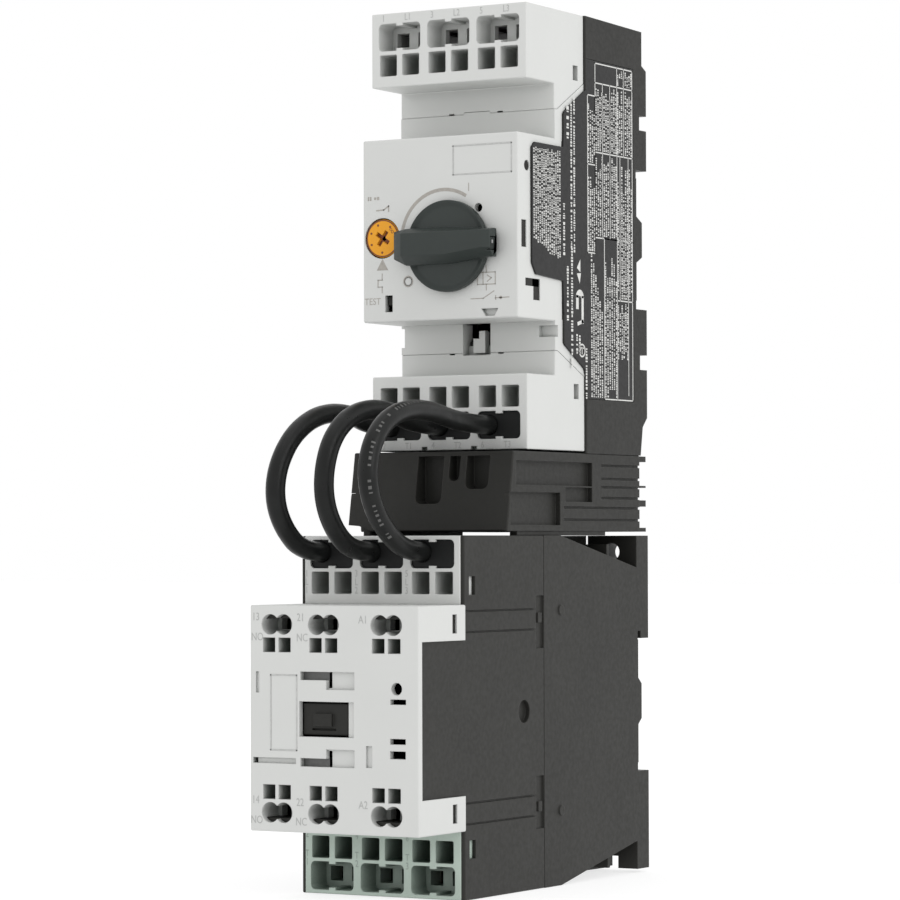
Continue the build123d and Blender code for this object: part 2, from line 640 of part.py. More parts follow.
def rotary_handle():
    """Black rotary handle: a round disc with a tapered bar across it."""
    low = COLLAR_DEPTH + HANDLE_LIFT
    disc = rod(HANDLE_X, HANDLE_Z, HANDLE_DISC_R, (low, low + HANDLE_DISC_THICK))
    disc = chamfer(disc.edges().group_by(Axis.Y)[0], 0.8)
    top = low + HANDLE_DISC_THICK
    crest = HANDLE_BAR_DEPTH
    height, peak = HANDLE_BAR_HEIGHT / 2, HANDLE_CREST / 2
    outline = [
        (top - 1.0, -height),
        (top + 0.6, -height),
        (crest, -peak),
        (crest, peak),
        (top + 0.6, height),
        (top - 1.0, height),
    ]
    points = [(depth, HANDLE_Z + z) for depth, z in outline]
    left, right = HANDLE_X - HANDLE_BAR_HALF, HANDLE_X + HANDLE_BAR_HALF
    bar = side_prism(points, (left, right))
    bar = fillet(bar.edges().filter_by(Axis.X), 0.5)
    nose = front_prism(
        [
            (left + 3.4, HANDLE_Z + height + 1),
            (left - 1, HANDLE_Z + height + 1),
            (left - 1, HANDLE_Z - height - 1),
            (left + 3.4, HANDLE_Z - height - 1),
            (left, HANDLE_Z - 2.6),
            (left, HANDLE_Z + 2.6),
        ],
        (low - 1, crest + 1),
    )
    body = disc + (bar - nose)
    lock_front = crest - LOCK_COVER
    channel = slab(
        (right - LOCK_LENGTH - LOCK_GAP, right + 1),
        (lock_front - LOCK_HEIGHT - LOCK_GAP, lock_front + LOCK_GAP),
        (HANDLE_Z - LOCK_WIDTH / 2 - LOCK_GAP, HANDLE_Z + LOCK_WIDTH / 2 + LOCK_GAP),
    )
    socket = rod(HANDLE_X, HANDLE_Z, SHAFT_R + 0.8, (low - 1, low + 0.01))
    return body - channel - socket


def handle_shaft():
    """Shaft from the handle down into the switching mechanism, with a flatted driving end."""
    low = COLLAR_DEPTH + HANDLE_LIFT
    shaft = rod(HANDLE_X, HANDLE_Z, SHAFT_R, (SHAFT_BACK, low))
    cam = slab((HANDLE_X - 5.5, HANDLE_X + 5.5), (SHAFT_BACK, SHAFT_BACK + 3), (HANDLE_Z - 2, HANDLE_Z + 2))
    return shaft + cam


def handle_lock_slide():
    """Padlock slide that pulls out of the end of the handle's bar."""
    right = HANDLE_X + HANDLE_BAR_HALF
    front = HANDLE_BAR_DEPTH - LOCK_COVER
    z = (HANDLE_Z - LOCK_WIDTH / 2, HANDLE_Z + LOCK_WIDTH / 2)
    bar = slab((right - LOCK_LENGTH, right - 0.1), (front - LOCK_HEIGHT, front), z)
    bar = fillet(bar.edges().filter_by(Axis.Y), 0.4)
    grip = slab((right - 1.0, right), (front - 1.6, front - 0.9), z)
    return bar - grip


def current_dial():
    """Orange setting dial with a cross-shaped driver slot."""
    front = COLLAR_DEPTH - 0.1
    dial = rod(DIAL_X, DIAL_Z, DIAL_R, (COLLAR_DEPTH - DIAL_THICK, front))
    dial = chamfer(dial.edges().group_by(Axis.Y)[0], 0.3)
    stem = rod(DIAL_X, DIAL_Z, 1.8, (COLLAR_DEPTH - 12, COLLAR_DEPTH - DIAL_THICK))
    star = []
    for turn in (0, 90):
        star.append(Pos(DIAL_X, -front, DIAL_Z) * Rot(0, turn + 35, 0) * Box(STAR_LENGTH, 1.8, 1.1))
    return cut(dial + stem, star)


def test_slide():
    """Small slide behind the test slot; pushed down, it trips the breaker."""
    z = (TEST_Z - 0.3, TEST_Z + TEST_SLOT_HEIGHT / 2 - 0.3)
    nose = wide(TEST_SLOT_WIDTH / 2 - 0.3, (COLLAR_DEPTH - WALL - 0.6, COLLAR_DEPTH - 0.9), z, TEST_X)
    plate = wide(
        2.0,
        (COLLAR_DEPTH - WALL - 2.2, COLLAR_DEPTH - WALL - 0.4),
        (TEST_Z - 0.5, TEST_Z + 3.5),
        TEST_X,
    )
    return nose + plate


# ---- breaker inside ------------------------------------------------------------------------------


def breaker_contacts(end, sign):
    """Three fixed contacts, from the contact pads to the clamps of a terminal block."""
    clamp_z = end - sign * BREAKER_SLOT_IN
    strips = []
    for x in POLE_X:
        strip = wide(2.5, FIXED_DEPTH, span(sign * (CONTACT_REACH - 1.5), clamp_z + sign * 0.6), x)
        riser = wide(2.5, (FIXED_DEPTH[0], BLOCK_SEAT + CLAMP_BACK), (clamp_z - 0.6, clamp_z + 0.6), x)
        pad = rod(x, sign * CONTACT_REACH, 1.4, (FIXED_DEPTH[1] - 0.1, FIXED_DEPTH[1] + 0.5))
        strips.append(strip + riser + pad)
    return Compound(children=strips)


def breaker_bridges():
    """Three contact bridges, open at rest by the contact travel."""
    low = FIXED_DEPTH[1] + 0.5 + CONTACT_TRAVEL + 0.02
    bridges = []
    for x in POLE_X:
        bridges.append(wide(2.2, (low, low + BRIDGE_THICK), (-CONTACT_REACH - 1.4, CONTACT_REACH + 1.4), x))
    return Compound(children=bridges)


def breaker_carrier():
    """Moving carrier that holds the three bridges."""
    low = FIXED_DEPTH[1] + 0.5 + CONTACT_TRAVEL + 0.02
    bar = wide(17.5, (low + BRIDGE_THICK, low + BRIDGE_THICK + 2.4), (-2.6, 2.6))
    return bar


def arc_chutes():
    """Stacks of steel splitter plates, one beside each fixed line contact."""
    stacks = []
    for x in POLE_X:
        plates = []
        for i in range(5):
            z = 12.0 + 2.4 * i
            plates.append(wide(4.6, (BASE_FLOOR, 14.5), (z, z + 0.8), x))
        spine = [wide(0.4, (BASE_FLOOR, 14.5), (12.0, 22.4), x + side * 4.9) for side in (-1, 1)]
        stacks.append(fuse(spine + plates))
    return Compound(children=stacks)


def trip_coils():
    """Magnetic trip coils in the lower half of each pole."""
    coils = []
    for x in POLE_X:
        tube = rod(x, -17.0, 4.6, (BASE_FLOOR, 13.5))
        coils.append(tube - rod(x, -17.0, 2.0, (0.0, 14.0)))
    return Compound(children=coils)


def bimetal_strips():
    """Thermal bimetal strips, one a pole, that bend against the trip bar."""
    strips = []
    for x in POLE_X:
        leaf = wide(2.0, (20.5, 21.3), (-34.0, -14.0), x)
        strips.append(leaf + wide(2.0, (FIXED_DEPTH[1], 20.6), (-34.0, -32.6), x))
    return Compound(children=strips)


def trip_bar():
    """Bar across the three poles; it swings when a bimetal, a coil or the test slide pushes it."""
    depth, z = TRIP_PIVOT
    bar = cross_rod(depth, z, 1.0, (-19.6, 19.6))
    arms = [wide(1.2, (depth - 6.5, depth), (z - 1.0, z + 0.4), x) for x in POLE_X]
    return fuse([bar] + arms)


def marker(x, z, front, inset=0.2):
    """Blank marking plate let into a front face."""
    return slab(
        (x[0] + inset, x[1] - inset), (front - MARKER_THICK, front - 0.05), (z[0] + inset, z[1] - inset)
    )


def rail_clip(rail_z):
    """Spring clip that bites the rail's lower edge; pulled down, it lets go."""
    edge = rail_z - RAIL_HEIGHT / 2
    top = edge + HOOK_BITE
    bar = wide(CLIP_HALF, CLIP_DEPTH, (top - CLIP_LENGTH, top))
    pull = wide(
        2.2, (CLIP_DEPTH[0] - 1, CLIP_DEPTH[1] + 1), (top - CLIP_LENGTH + 1.5, top - CLIP_LENGTH + 3.5)
    )
    return bar - pull


# ---- link and wires ------------------------------------------------------------------------------

def link_bracket():
    """Black bracket that ties the contactor to the breaker and carries the wires past the joint."""
    half = LINK_WIDTH / 2
    top, bottom = LINK_TOP, LINK_BOTTOM
    rear = -1.4
    outline = [(LINK_TOP_DEPTH, top), (rear, top), (rear, bottom), (LINK_BOTTOM_DEPTH, bottom)]
    body = soft(side_prism(outline, (-half, half)), 0.4)
    for z in (
        (top - 1.6, top - 0.2),
        (top - 8.2, top - 7.7),
        (top - 13.0, top - 11.4),
        (bottom, bottom + 1.0),
    ):
        body = body + wide(half - 0.4, (BACK_DEPTH + 0.2, rear + 0.5), z)
    for side in (-1, 1):
        rail = span(side * (half - 0.8), side * (half - 2.8))
        body = body + slab(rail, LINK_SKIRT, (bottom - LINK_GAP, bottom + 0.5))
    chamfered = [
        (-23, bottom - 1),
        (-23, bottom + 1.7),
        (-19.2, bottom + 1.4),
        (-16.0, bottom),
        (-16.0, bottom - 1),
    ]
    pockets = [front_prism(chamfered, (LINK_SKIRT[1], LINK_BOTTOM_DEPTH + 1))]
    for side in (-1, 1):
        skin = span(side * (half - LINK_POCKET), side * (half + 1))
        pockets.append(slab(skin, (24.3, LINK_TOP_DEPTH - 1.2), (top - 8.2, top - 2.3)))
        pockets.append(slab(skin, (24.3, 38.2), (top - 12.1, top - 8.5)))
        pockets.append(slab(skin, (40.8, LINK_BOTTOM_DEPTH - 1.6), (top - 17.9, top - 9.9)))
        for drop, reach in LINK_GROOVES:
            z = top - drop
            line = span(side * (half - 0.6), side * (half + 1))
            pockets.append(slab(line, (rear - 1, reach), (z - 0.3, z + 0.3)))
    face = (LINK_TOP_DEPTH - LINK_WINDOW, LINK_BOTTOM_DEPTH + 2)
    for x, z in LINK_WINDOWS:
        window = slab(x, face, (top - z[1], top - z[0]))
        lower = [e for e in window.edges().filter_by(Axis.Y) if e.center().Z < top - z[1] + 0.1]
        pockets.append(fillet(lower, min(1.6, 0.45 * (x[1] - x[0]))))
    hollow_low = bottom - LINK_GAP - 1
    for x in (-POLE_PITCH, 0.0, POLE_PITCH):
        pockets.append(wide(5.4, (4.0, 22.0), (hollow_low, top - LINK_WALL), x))
        pockets.append(
            wide(5.4, (25.0, LINK_TOP_DEPTH - LINK_WINDOW - LINK_WALL), (hollow_low, top - LINK_WALL), x)
        )
    return cut(body, pockets)


def wire_plug(x, entry_x, face, funnel_z, wire_z):
    """Black insert that fills a funnel and grips one jumper wire."""
    back = face - FUNNEL_DEEP
    front = face - PLUG_BACK
    body = double_entry(x, funnel_z, (back, front), -PLUG_GAP)
    return body - rod(entry_x, wire_z, WIRE_D / 2 + PLUG_GAP, (front - WIRE_IN, front + 1))


def wire_path(points, x):
    """Straight runs joined by tangent arcs, each arc as large as its two runs allow."""
    corners = [Vector(x, -depth, z) for depth, z in points]
    radii = []
    for before, at, after in zip(corners, corners[1:], corners[2:]):
        first, second = at - before, after - at
        turn = math.radians(first.get_angle(second))
        radii.append(0.45 * min(first.length, second.length) / math.tan(turn / 2))
    print("wire at", round(x, 2), "radii", [round(r, 1) for r in radii])
    return FilletPolyline(*corners, radius=radii)


def jumper_wire(points, x):
    """A round wire along its route."""
    path = wire_path(points, x)
    start = Plane(origin=path @ 0, z_dir=path % 0)
    wire = sweep(start * Circle(WIRE_D / 2), path=path)
    section = math.pi * WIRE_D**2 / 4
    print(
        "  length",
        round(path.length, 1),
        "volume ratio",
        round(wire.volume / (section * path.length), 4),
    )
    return wire


# ---- contactor housing ---------------------------------------------------------------------------


def contactor_base():
    """Black lower shell of the contactor: magnet chamber, rail recess and two fixing ears."""
    outline = rail_back(C_RAIL, C_TOP, C_BOTTOM, EAR_INSIDE, 1.8)
    outline[1] = (BACK_DEPTH, C_TOP)
    outline[-2] = (BACK_DEPTH, C_BOTTOM + 0.9)
    outline[-1] = (EAR_INSIDE, C_BOTTOM + 0.9)
    outline += [
        (EAR_INSIDE, C_BOTTOM + BASE_NARROW),
        (BASE_TAPER_DEPTH, C_BOTTOM),
        (BASE_SEAM, C_BOTTOM),
        (BASE_SEAM, C_TOP),
        (BASE_TAPER_DEPTH, C_TOP),
        (EAR_INSIDE, C_TOP - BASE_NARROW),
    ]
    body = side_prism(outline, (-C_SIDE, C_SIDE))
    inside = side_prism(
        [
            (SEAT_FLOOR, C_BOTTOM + BASE_NARROW + CONTACTOR_WALL),
            (BASE_TAPER_DEPTH, C_BOTTOM + CONTACTOR_WALL),
            (BASE_SEAM + 1, C_BOTTOM + CONTACTOR_WALL),
            (BASE_SEAM + 1, C_TOP - CONTACTOR_WALL),
            (BASE_TAPER_DEPTH, C_TOP - CONTACTOR_WALL),
            (SEAT_FLOOR, C_TOP - BASE_NARROW - CONTACTOR_WALL),
        ],
        (-C_SIDE + CONTACTOR_WALL, C_SIDE - CONTACTOR_WALL),
    )
    body = body - inside
    down = C_RAIL - RAIL_HEIGHT / 2 - RAIL_GAP
    up = C_RAIL + RAIL_HEIGHT / 2 + RAIL_GAP
    channel = wide(CLIP_HALF + 0.3, (BACK_DEPTH - 1, CLIP_DEPTH[1] + 0.2), (C_BOTTOM - 1, down + 1))
    cuts = [channel]
    ear = (BACK_DEPTH - 1, EAR_INSIDE + 1)
    for sign, end in ((1, C_TOP), (-1, C_BOTTOM)):
        hole_z = end - sign * FIX_HOLE_IN
        cuts.append(rod(sign * FIX_HOLE_X, hole_z, FIX_HOLE_R, ear))
        cuts.append(slab(span(-sign * 6.0, sign * 8.5), ear, span(end - sign * 3.0, end + sign)))
        cuts.append(slab(span(-sign * 12.0, -sign * 17.0), ear, span(end - sign * 4.0, end + sign)))
    body = cut(body, cuts)
    for sign, end in ((1, C_TOP), (-1, C_BOTTOM)):
        level = end - sign * (0.0 if sign > 0 else 0.9)
        wedge = [
            (EAR_INSIDE - 0.1, end - sign * (BASE_NARROW + 0.2)),
            (EAR_INSIDE - 0.1, level),
            (BASE_TAPER_DEPTH - 14.0, level - sign * 0.2),
            (BASE_TAPER_DEPTH - 8.0, end - sign * 1.8),
        ]
        body = body + side_prism(wedge, span(-sign * (C_SIDE - 9.0), sign * 8.0))
        rib = [
            (EAR_INSIDE + 13.0, end - sign * (BASE_NARROW + 0.2)),
            (EAR_INSIDE + 13.0, end - sign * 2.2),
            (EAR_INSIDE + 14.2, end - sign * 2.2),
            (EAR_INSIDE + 14.2, end - sign * (BASE_NARROW + 0.2)),
        ]
        body = body + side_prism(rib, (-C_SIDE + 1.0, C_SIDE - 1.0))
    lip = wide(C_SIDE, (BACK_DEPTH, HOOK_FRONT), (C_RAIL + RAIL_HEIGHT / 2 - HOOK_BITE, up + 0.5))
    dots = []
    for sign in (-1, 1):
        for side in (-1, 1):
            z = C_MID + sign * 24.5
            dots.append(
                cross_rod(BASE_SEAM - 8.5, z, 1.3, span(side * (C_SIDE - 0.1), side * (C_SIDE + 0.3)))
            )
    return fuse([body - key_relief(C_RAIL), lip] + dots)


def contactor_body():
    """Black upper housing: contact chambers, and the tower that carries the front cover."""
    main = wide(C_SIDE, (BASE_SEAM, CONTACTOR_FACE - 0.2), (C_BOTTOM, C_TOP))
    main = soft(main, 0.35)
    tower_z = (COVER_BOTTOM + COVER_PLATE + 0.1, COVER_TOP - COVER_PLATE - 0.1)
    tower = wide(C_SIDE, (CONTACTOR_FACE - 1, TOWER_DEPTH), tower_z)
    tower_room = wide(
        C_SIDE - TOWER_WALL,
        (BASE_SEAM, TOWER_DEPTH + 1),
        (tower_z[0] + TOWER_WALL, tower_z[1] - TOWER_WALL),
    )
    chamber = wide(
        C_SIDE - CONTACTOR_WALL,
        (BASE_SEAM - 1, CONTACTOR_FACE - 12),
        (C_BOTTOM + CONTACTOR_WALL, C_TOP - CONTACTOR_WALL),
    )
    body = main + tower - chamber - tower_room
    corridor = CARRIER_HALF_Z + 5.0
    for x in (-POLE_PITCH / 2, POLE_PITCH / 2):
        for z in (
            (C_BOTTOM + CONTACTOR_WALL, C_MID - corridor), (C_MID + corridor, C_TOP - CONTACTOR_WALL)
        ):
            body = body + wide(PARTITION / 2, (BASE_SEAM + 2, CONTACTOR_FACE - 11.5), z, x)
    cuts = []
    for end, sign in ((C_TOP, 1), (C_BOTTOM, -1)):
        pocket = span(end + sign, end - sign * (TERMINAL_HEIGHT + 0.1))
        cuts.append(wide(C_SIDE - TERMINAL_SKIN, (CONTACTOR_FACE - 13, CONTACTOR_FACE + 1), pocket))
    skin = (C_SIDE - 0.5, C_SIDE + 1)
    for side in (-1, 1):
        face = span(side * skin[0], side * skin[1])
        for sign in (-1, 1):
            for z in (SEAM_IN - 0.2, SEAM_IN + 4.7):
                line = C_MID + sign * (CONTACTOR_HEIGHT / 2 - z)
                cuts.append(slab(face, (BASE_SEAM + 4.2, CONTACTOR_FACE + 0.5), (line - 0.25, line + 0.25)))
            latch = C_MID + sign * LATCH_Z
            cuts.append(slab(face, (BASE_SEAM + 0.3, BASE_SEAM + 4.2), (latch - 6.4, latch + 6.4)))
            slot = C_MID + sign * (CONTACTOR_HEIGHT / 2 - 11.8)
            deep = span(side * (C_SIDE - 2.5), side * (C_SIDE + 1))
            cuts.append(slab(deep, (CONTACTOR_FACE - 5.3, CONTACTOR_FACE - 2.5), (slot - 2.2, slot + 2.2)))
        deep = span(side * (C_SIDE - 1.2), side * (C_SIDE + 1))
        cuts.append(cross_rod(BASE_SEAM + 10, C_MID + 0.4, 2.75, deep))
    body = cut(body, cuts)
    for side in (-1, 1):
        catch = span(side * (C_SIDE - 0.6), side * C_SIDE)
        for sign in (-1, 1):
            z = C_MID + sign * (CONTACTOR_HEIGHT / 2 - 19.9)
            body = body + slab(catch, (BASE_SEAM + 1.2, BASE_SEAM + 3.0), (z - 1.2, z + 1.2))
    return body


def contactor_terminals(end, sign):
    """Light grey push-in block at the contactor's top (sign 1) or bottom (sign -1)."""
    half = C_SIDE - TERMINAL_SKIN - 0.05
    z = span(end - sign * 0.05, end - sign * TERMINAL_HEIGHT)
    body = soft(wide(half, (CONTACTOR_FACE - 12, CONTACTOR_FACE), z), 0.25)
    funnel_z = end - sign * CONTACTOR_FUNNEL_IN
    slot_z = end - sign * CONTACTOR_SLOT_IN
    cuts = []
    for x in POLE_X:
        cuts += pole_cuts(x, CONTACTOR_FACE, funnel_z, slot_z, CONTACTOR_FACE - 13)
    return cut(body, cuts)


def contactor_clamps(end, sign):
    """Push-in clamps behind one of the contactor's main terminal blocks."""
    funnel_z = end - sign * CONTACTOR_FUNNEL_IN
    slot_z = end - sign * CONTACTOR_SLOT_IN
    return spring_clamps(CONTACTOR_FACE - 2.8, funnel_z, slot_z, CONTACTOR_FACE - 26)


def aux_cuts(sign):
    """Round double wire entries and square release slots of one row of auxiliary terminals."""
    cuts = []
    for x in AUX_X:
        z = C_MID + sign * AUX_HOLE_Z
        for side in (-1, 1):
            middle = x + side * AUX_HOLE_PITCH / 2
            cuts.append(rod(middle, z, AUX_HOLE_R, (COVER_DEPTH - AUX_HOLE_DEEP, COVER_DEPTH + 1)))
            cuts.append(wide(1.3, (COVER_DEPTH - BOSS_BACK - 1, COVER_DEPTH), (z - 1.3, z + 1.3), middle))
            slot_z = C_MID + sign * AUX_SLOT_Z
            slot_x = x + side * AUX_SLOT_PITCH / 2
            half = AUX_SLOT / 2
            cuts.append(
                wide(
                    half,
                    (COVER_DEPTH - AUX_HOLE_DEEP, COVER_DEPTH + 1),
                    (slot_z - half, slot_z + half),
                    slot_x,
                ),
            )
    return cuts


def contactor_cover():
    """Light grey front cover with corner tabs, auxiliary terminals and the indicator window."""
    half = COVER_WIDTH / 2
    body = soft(wide(half, (CONTACTOR_FACE, COVER_DEPTH), (COVER_BOTTOM, COVER_TOP)), 0.4)
    room = wide(
        C_SIDE + 0.05,
        (CONTACTOR_FACE - 1, COVER_DEPTH - COVER_PLATE),
        (COVER_BOTTOM + COVER_PLATE, COVER_TOP - COVER_PLATE),
    )
    body = body - room
    boss_half = C_SIDE - TOWER_WALL - 0.1
    boss_in = COVER_PLATE + TOWER_WALL + 0.2
    for sign, end in ((1, COVER_TOP), (-1, COVER_BOTTOM)):
        z = span(end - sign * boss_in, C_MID + sign * (AUX_SLOT_Z - 3.0))
        body = body + wide(boss_half, (COVER_DEPTH - BOSS_BACK, COVER_DEPTH - 0.5), z)
    mid = C_MID
    low, high = COVER_BOTTOM + COVER_TAB, COVER_TOP - COVER_TAB
    cuts = aux_cuts(1) + aux_cuts(-1)
    for side in (-1, 1):
        edge = span(side * (C_SIDE - 0.2), side * (half + 1))
        cuts.append(slab(edge, (CONTACTOR_FACE - 1, COVER_DEPTH - COVER_PLATE + 0.1), (low, high)))
        for sign in (-1, 1):
            tab = C_MID + sign * 22.1
            cuts.append(slab(edge, (COVER_DEPTH - 17.3, COVER_DEPTH - 15.3), (tab - 2.2, tab + 2.2)))
    front = COVER_DEPTH + 1
    thin = COVER_DEPTH - COVER_PLATE - 1
    cuts.append(slab(WINDOW_X, (thin, front), (mid - WINDOW_HALF, mid + WINDOW_HALF)))
    cuts.append(
        slab(
            (WINDOW_X[0], WINDOW_X[1] + 1.8),
            (COVER_DEPTH - 0.8, front),
            (mid - WINDOW_HALF, mid + WINDOW_HALF),
        ),
    )
    for sign in (-1, 1):
        z = mid + sign * RECESS_Z
        left, right = WINDOW_X[0] + 0.3, WINDOW_X[1] + 2.0
        lip_z = z + sign * 0.7
        cuts.append(slab((left, right), (COVER_DEPTH - 1.0, front), span(lip_z, z + sign * 2.05)))
        cuts.append(
            slab((TONGUE_END, right), (COVER_DEPTH - 1.0, front), span(lip_z + sign, z - sign * 2.05))
        )
        cuts.append(slab((left, TONGUE_END + 1.1), (thin, front), span(z + sign * 2.05, z + sign * 0.1)))
        cuts.append(slab((TONGUE_END, TONGUE_END + 1.1), (thin, front), span(lip_z, z - sign * 1.7)))
    cuts.append(rod(17.2, mid + 7.4, 1.45, (thin, front)))
    for x, z, tall in ((15.5, 4.4, 1.2), (15.4, -4.7, 1.3), (15.4, -7.8, 1.8)):
        cuts.append(
            slab((x, x + 4.2), (thin, front), (mid + z - tall / 2, mid + z + tall / 2))
        )
    cuts.append(
        slab(C_MARKER_X, (COVER_DEPTH - MARKER_THICK, front), (mid + C_MARKER_Z[0], mid + C_MARKER_Z[1]))
    )
    cuts.append(slab((-22.3, -10.4), (COVER_DEPTH - 0.8, front), (mid - 10.5, mid - 9.2)))
    cuts.append(slab((-22.3, -21.4), (thin, front), (mid - 10.5, mid - 9.2)))
    cuts.append(slab((-21.5, -20.6), (COVER_DEPTH - 0.5, front), (mid + 6.0, mid + 10.9)))
    cuts.append(slab((8.9, 10.5), (COVER_DEPTH - 0.6, front), (mid - 10.9, mid - 5.9)))
    return cut(body, cuts)


def position_indicator():
    """Black slide in the cover's window; it sinks when the contactor pulls in."""
    mid = C_MID
    half = WINDOW_HALF - RUN_GAP
    x = (WINDOW_X[0] + RUN_GAP, WINDOW_X[1] - RUN_GAP)
    block = slab(x, (CARRIER_TOP, COVER_DEPTH - 1.2), (mid - half, mid + half))
    step = slab((-5.8, -0.8), (COVER_DEPTH - 1.4, COVER_DEPTH - 0.4), (mid - 1.6, mid + 1.3))
    groove = slab((-6.6, 0.0), (COVER_DEPTH - 2.0, COVER_DEPTH), (mid - 2.6, mid - 2.1))
    return soft(block, 0.3) + step - groove


# ---- contactor inside ----------------------------------------------------------------------------


def e_core(back, yoke_end, leg_end):
    """An E-shaped magnet core with its legs between two depths."""
    yoke = wide(CORE_HALF_X, span(back, yoke_end), (C_MID - OUTER_LEG[1], C_MID + OUTER_LEG[1]))
    legs = [wide(CORE_HALF_X, span(yoke_end, leg_end), (C_MID - LEG_HALF, C_MID + LEG_HALF))]
    for sign in (-1, 1):
        z = span(C_MID + sign * OUTER_LEG[0], C_MID + sign * OUTER_LEG[1])
        legs.append(wide(CORE_HALF_X, span(yoke_end, leg_end), z))
    return fuse([yoke] + legs)


def magnet_core():
    """Fixed magnet core on its rubber pad."""
    return e_core(CORE_BACK, CORE_BACK + CORE_YOKE, CORE_BACK + CORE_LEG)


def armature():
    """Moving magnet core, fixed to the contact carrier."""
    return e_core(ARMATURE_BACK, ARMATURE_BACK - CORE_YOKE, ARMATURE_FACE)


def core_pad():
    """Rubber pad under the fixed core."""
    return wide(CORE_HALF_X, (SEAT_FLOOR, CORE_BACK), (C_MID - OUTER_LEG[1], C_MID + OUTER_LEG[1]))


def coil_parts():
    """The coil's bobbin and its winding, round the middle legs of both cores."""
    depth = (CORE_BACK + CORE_YOKE, COIL_FRONT)
    hole_x, hole_z = CORE_HALF_X + RUN_GAP, LEG_HALF + RUN_GAP
    out_x, out_z = hole_x + BOBBIN_WALL, hole_z + BOBBIN_WALL
    flange_x, flange_z = SPRING_X + SPRING_R + 0.4, OUTER_LEG[0] - RUN_GAP
    tube = wide(out_x, depth, (C_MID - out_z, C_MID + out_z))
    ends = []
    for side in ((depth[0], depth[0] + 1.2), (depth[1] - 1.2, depth[1])):
        ends.append(wide(flange_x, side, (C_MID - flange_z, C_MID + flange_z)))
    hole = wide(hole_x, (0, 60), (C_MID - hole_z, C_MID + hole_z))
    bobbin = fuse([tube] + ends) - hole
    inner = (depth[0] + 1.2, depth[1] - 1.2)
    winding = soft(wide(flange_x - 0.6, inner, (C_MID - flange_z + 0.6, C_MID + flange_z - 0.6)), 0.5)
    winding = winding - wide(out_x, (0, 60), (C_MID - out_z, C_MID + out_z))
    return bobbin, winding


def contact_carrier():
    """Black moving carrier: it holds the armature, the three bridges and the indicator."""
    low = ARMATURE_BACK
    half = CARRIER_HALF_Z
    foot = wide(CORE_HALF_X, (low, low + 3), (C_MID - half, C_MID + half))
    stem = wide(4.6, (low + 3, CARRIER_TOP), (C_MID - 3.4, C_MID + 3.4), STEM_X)
    bar = wide(19.4, (BRIDGE_DEPTH - CARRIER_REAR, BRIDGE_DEPTH + 6), (C_MID - 3.4, C_MID + 3.4))
    body = foot + stem + bar
    for x in POLE_X:
        body = body - wide(3.4, (BRIDGE_DEPTH - 0.02, BRIDGE_DEPTH + 4.5), (C_MID - 5, C_MID + 5), x)
    aux = wide(12.0, (AUX_BRIDGE_DEPTH - 3.5, AUX_BRIDGE_DEPTH), (C_MID - 3.4, C_MID + 3.4))
    return body + aux


def contactor_bridges():
    """Three contact bridges in the carrier's windows."""
    strips = []
    for x in POLE_X:
        bar = wide(
            2.6,
            (BRIDGE_DEPTH, BRIDGE_DEPTH + 1.2),
            (C_MID - C_BRIDGE_REACH, C_MID + C_BRIDGE_REACH),
            x,
        )
        strips.append(bar)
    return Compound(children=strips)


def contact_springs():
    """Springs that press the three bridges rearward in their windows."""
    springs = []
    for x in POLE_X:
        depth = (BRIDGE_DEPTH + 1.2, BRIDGE_DEPTH + 4.5)
        springs.append(rod(x, C_MID, 2.2, depth) - rod(x, C_MID, 1.7, (depth[0] - 1, depth[1] + 1)))
    return Compound(children=springs)


def contactor_contacts(end, sign):
    """Three fixed contacts between the terminals and the bridges."""
    strips = []
    for x in POLE_X:
        inner = C_MID + sign * (C_BRIDGE_REACH - 3.0)
        outer = end - sign * 2.6
        flat = wide(2.6, (FIXED_TOP - 2.0, FIXED_TOP - 0.8), span(inner, outer), x)
        pad = rod(x, C_MID + sign * (C_BRIDGE_REACH - 1.5), 1.5, (FIXED_TOP - 0.9, FIXED_TOP))
        strips.append(flat + pad)
    return Compound(children=strips)


def aux_bridges():
    """Two auxiliary contact bridges on the carrier's upper arm."""
    strips = []
    for x in AUX_BRIDGE_X:
        strips.append(wide(1.4, (AUX_BRIDGE_DEPTH, AUX_BRIDGE_DEPTH + 0.8), (C_MID - 8.0, C_MID + 8.0), x))
    return Compound(children=strips)


def aux_contacts():
    """Fixed auxiliary contact blades, two a bridge."""
    blades = []
    for x in AUX_BRIDGE_X:
        for sign in (-1, 1):
            depth = AUX_BRIDGE_DEPTH - ARMATURE_TRAVEL - 0.05
            blades.append(wide(1.4, (depth - 0.8, depth), span(C_MID + sign * 5.0, C_MID + sign * 20.0), x))
    return Compound(children=blades)


def aux_clamps(places):
    """Push-in clamps behind auxiliary or coil terminals."""
    strips = []
    for x in places:
        for sign in (-1, 1):
            for side in (-1, 1):
                middle = x + side * AUX_HOLE_PITCH / 2
                z = C_MID + sign * (AUX_HOLE_Z - 2.0)
                back = COVER_DEPTH - BOSS_BACK
                leaf = wide(1.2, (back - 7.0, back - 0.3), (z - 0.25, z + 0.25), middle)
                foot = wide(1.2, (back - 7.0, back - 6.5), span(z, z - sign * 4.0), middle)
                strips.append(leaf + foot)
    return Compound(children=strips)


def return_springs():
    """Two springs that push the carrier forward when the coil is off."""
    springs = []
    depth = (COIL_FRONT, BRIDGE_DEPTH - CARRIER_REAR)
    for x in (-SPRING_X, SPRING_X):
        bore = rod(x, C_MID, SPRING_R - 0.5, (depth[0] - 1, depth[1] + 1))
        springs.append(rod(x, C_MID, SPRING_R, depth) - bore)
    return Compound(children=springs)


# ---- build ---------------------------------------------------------------------------------------

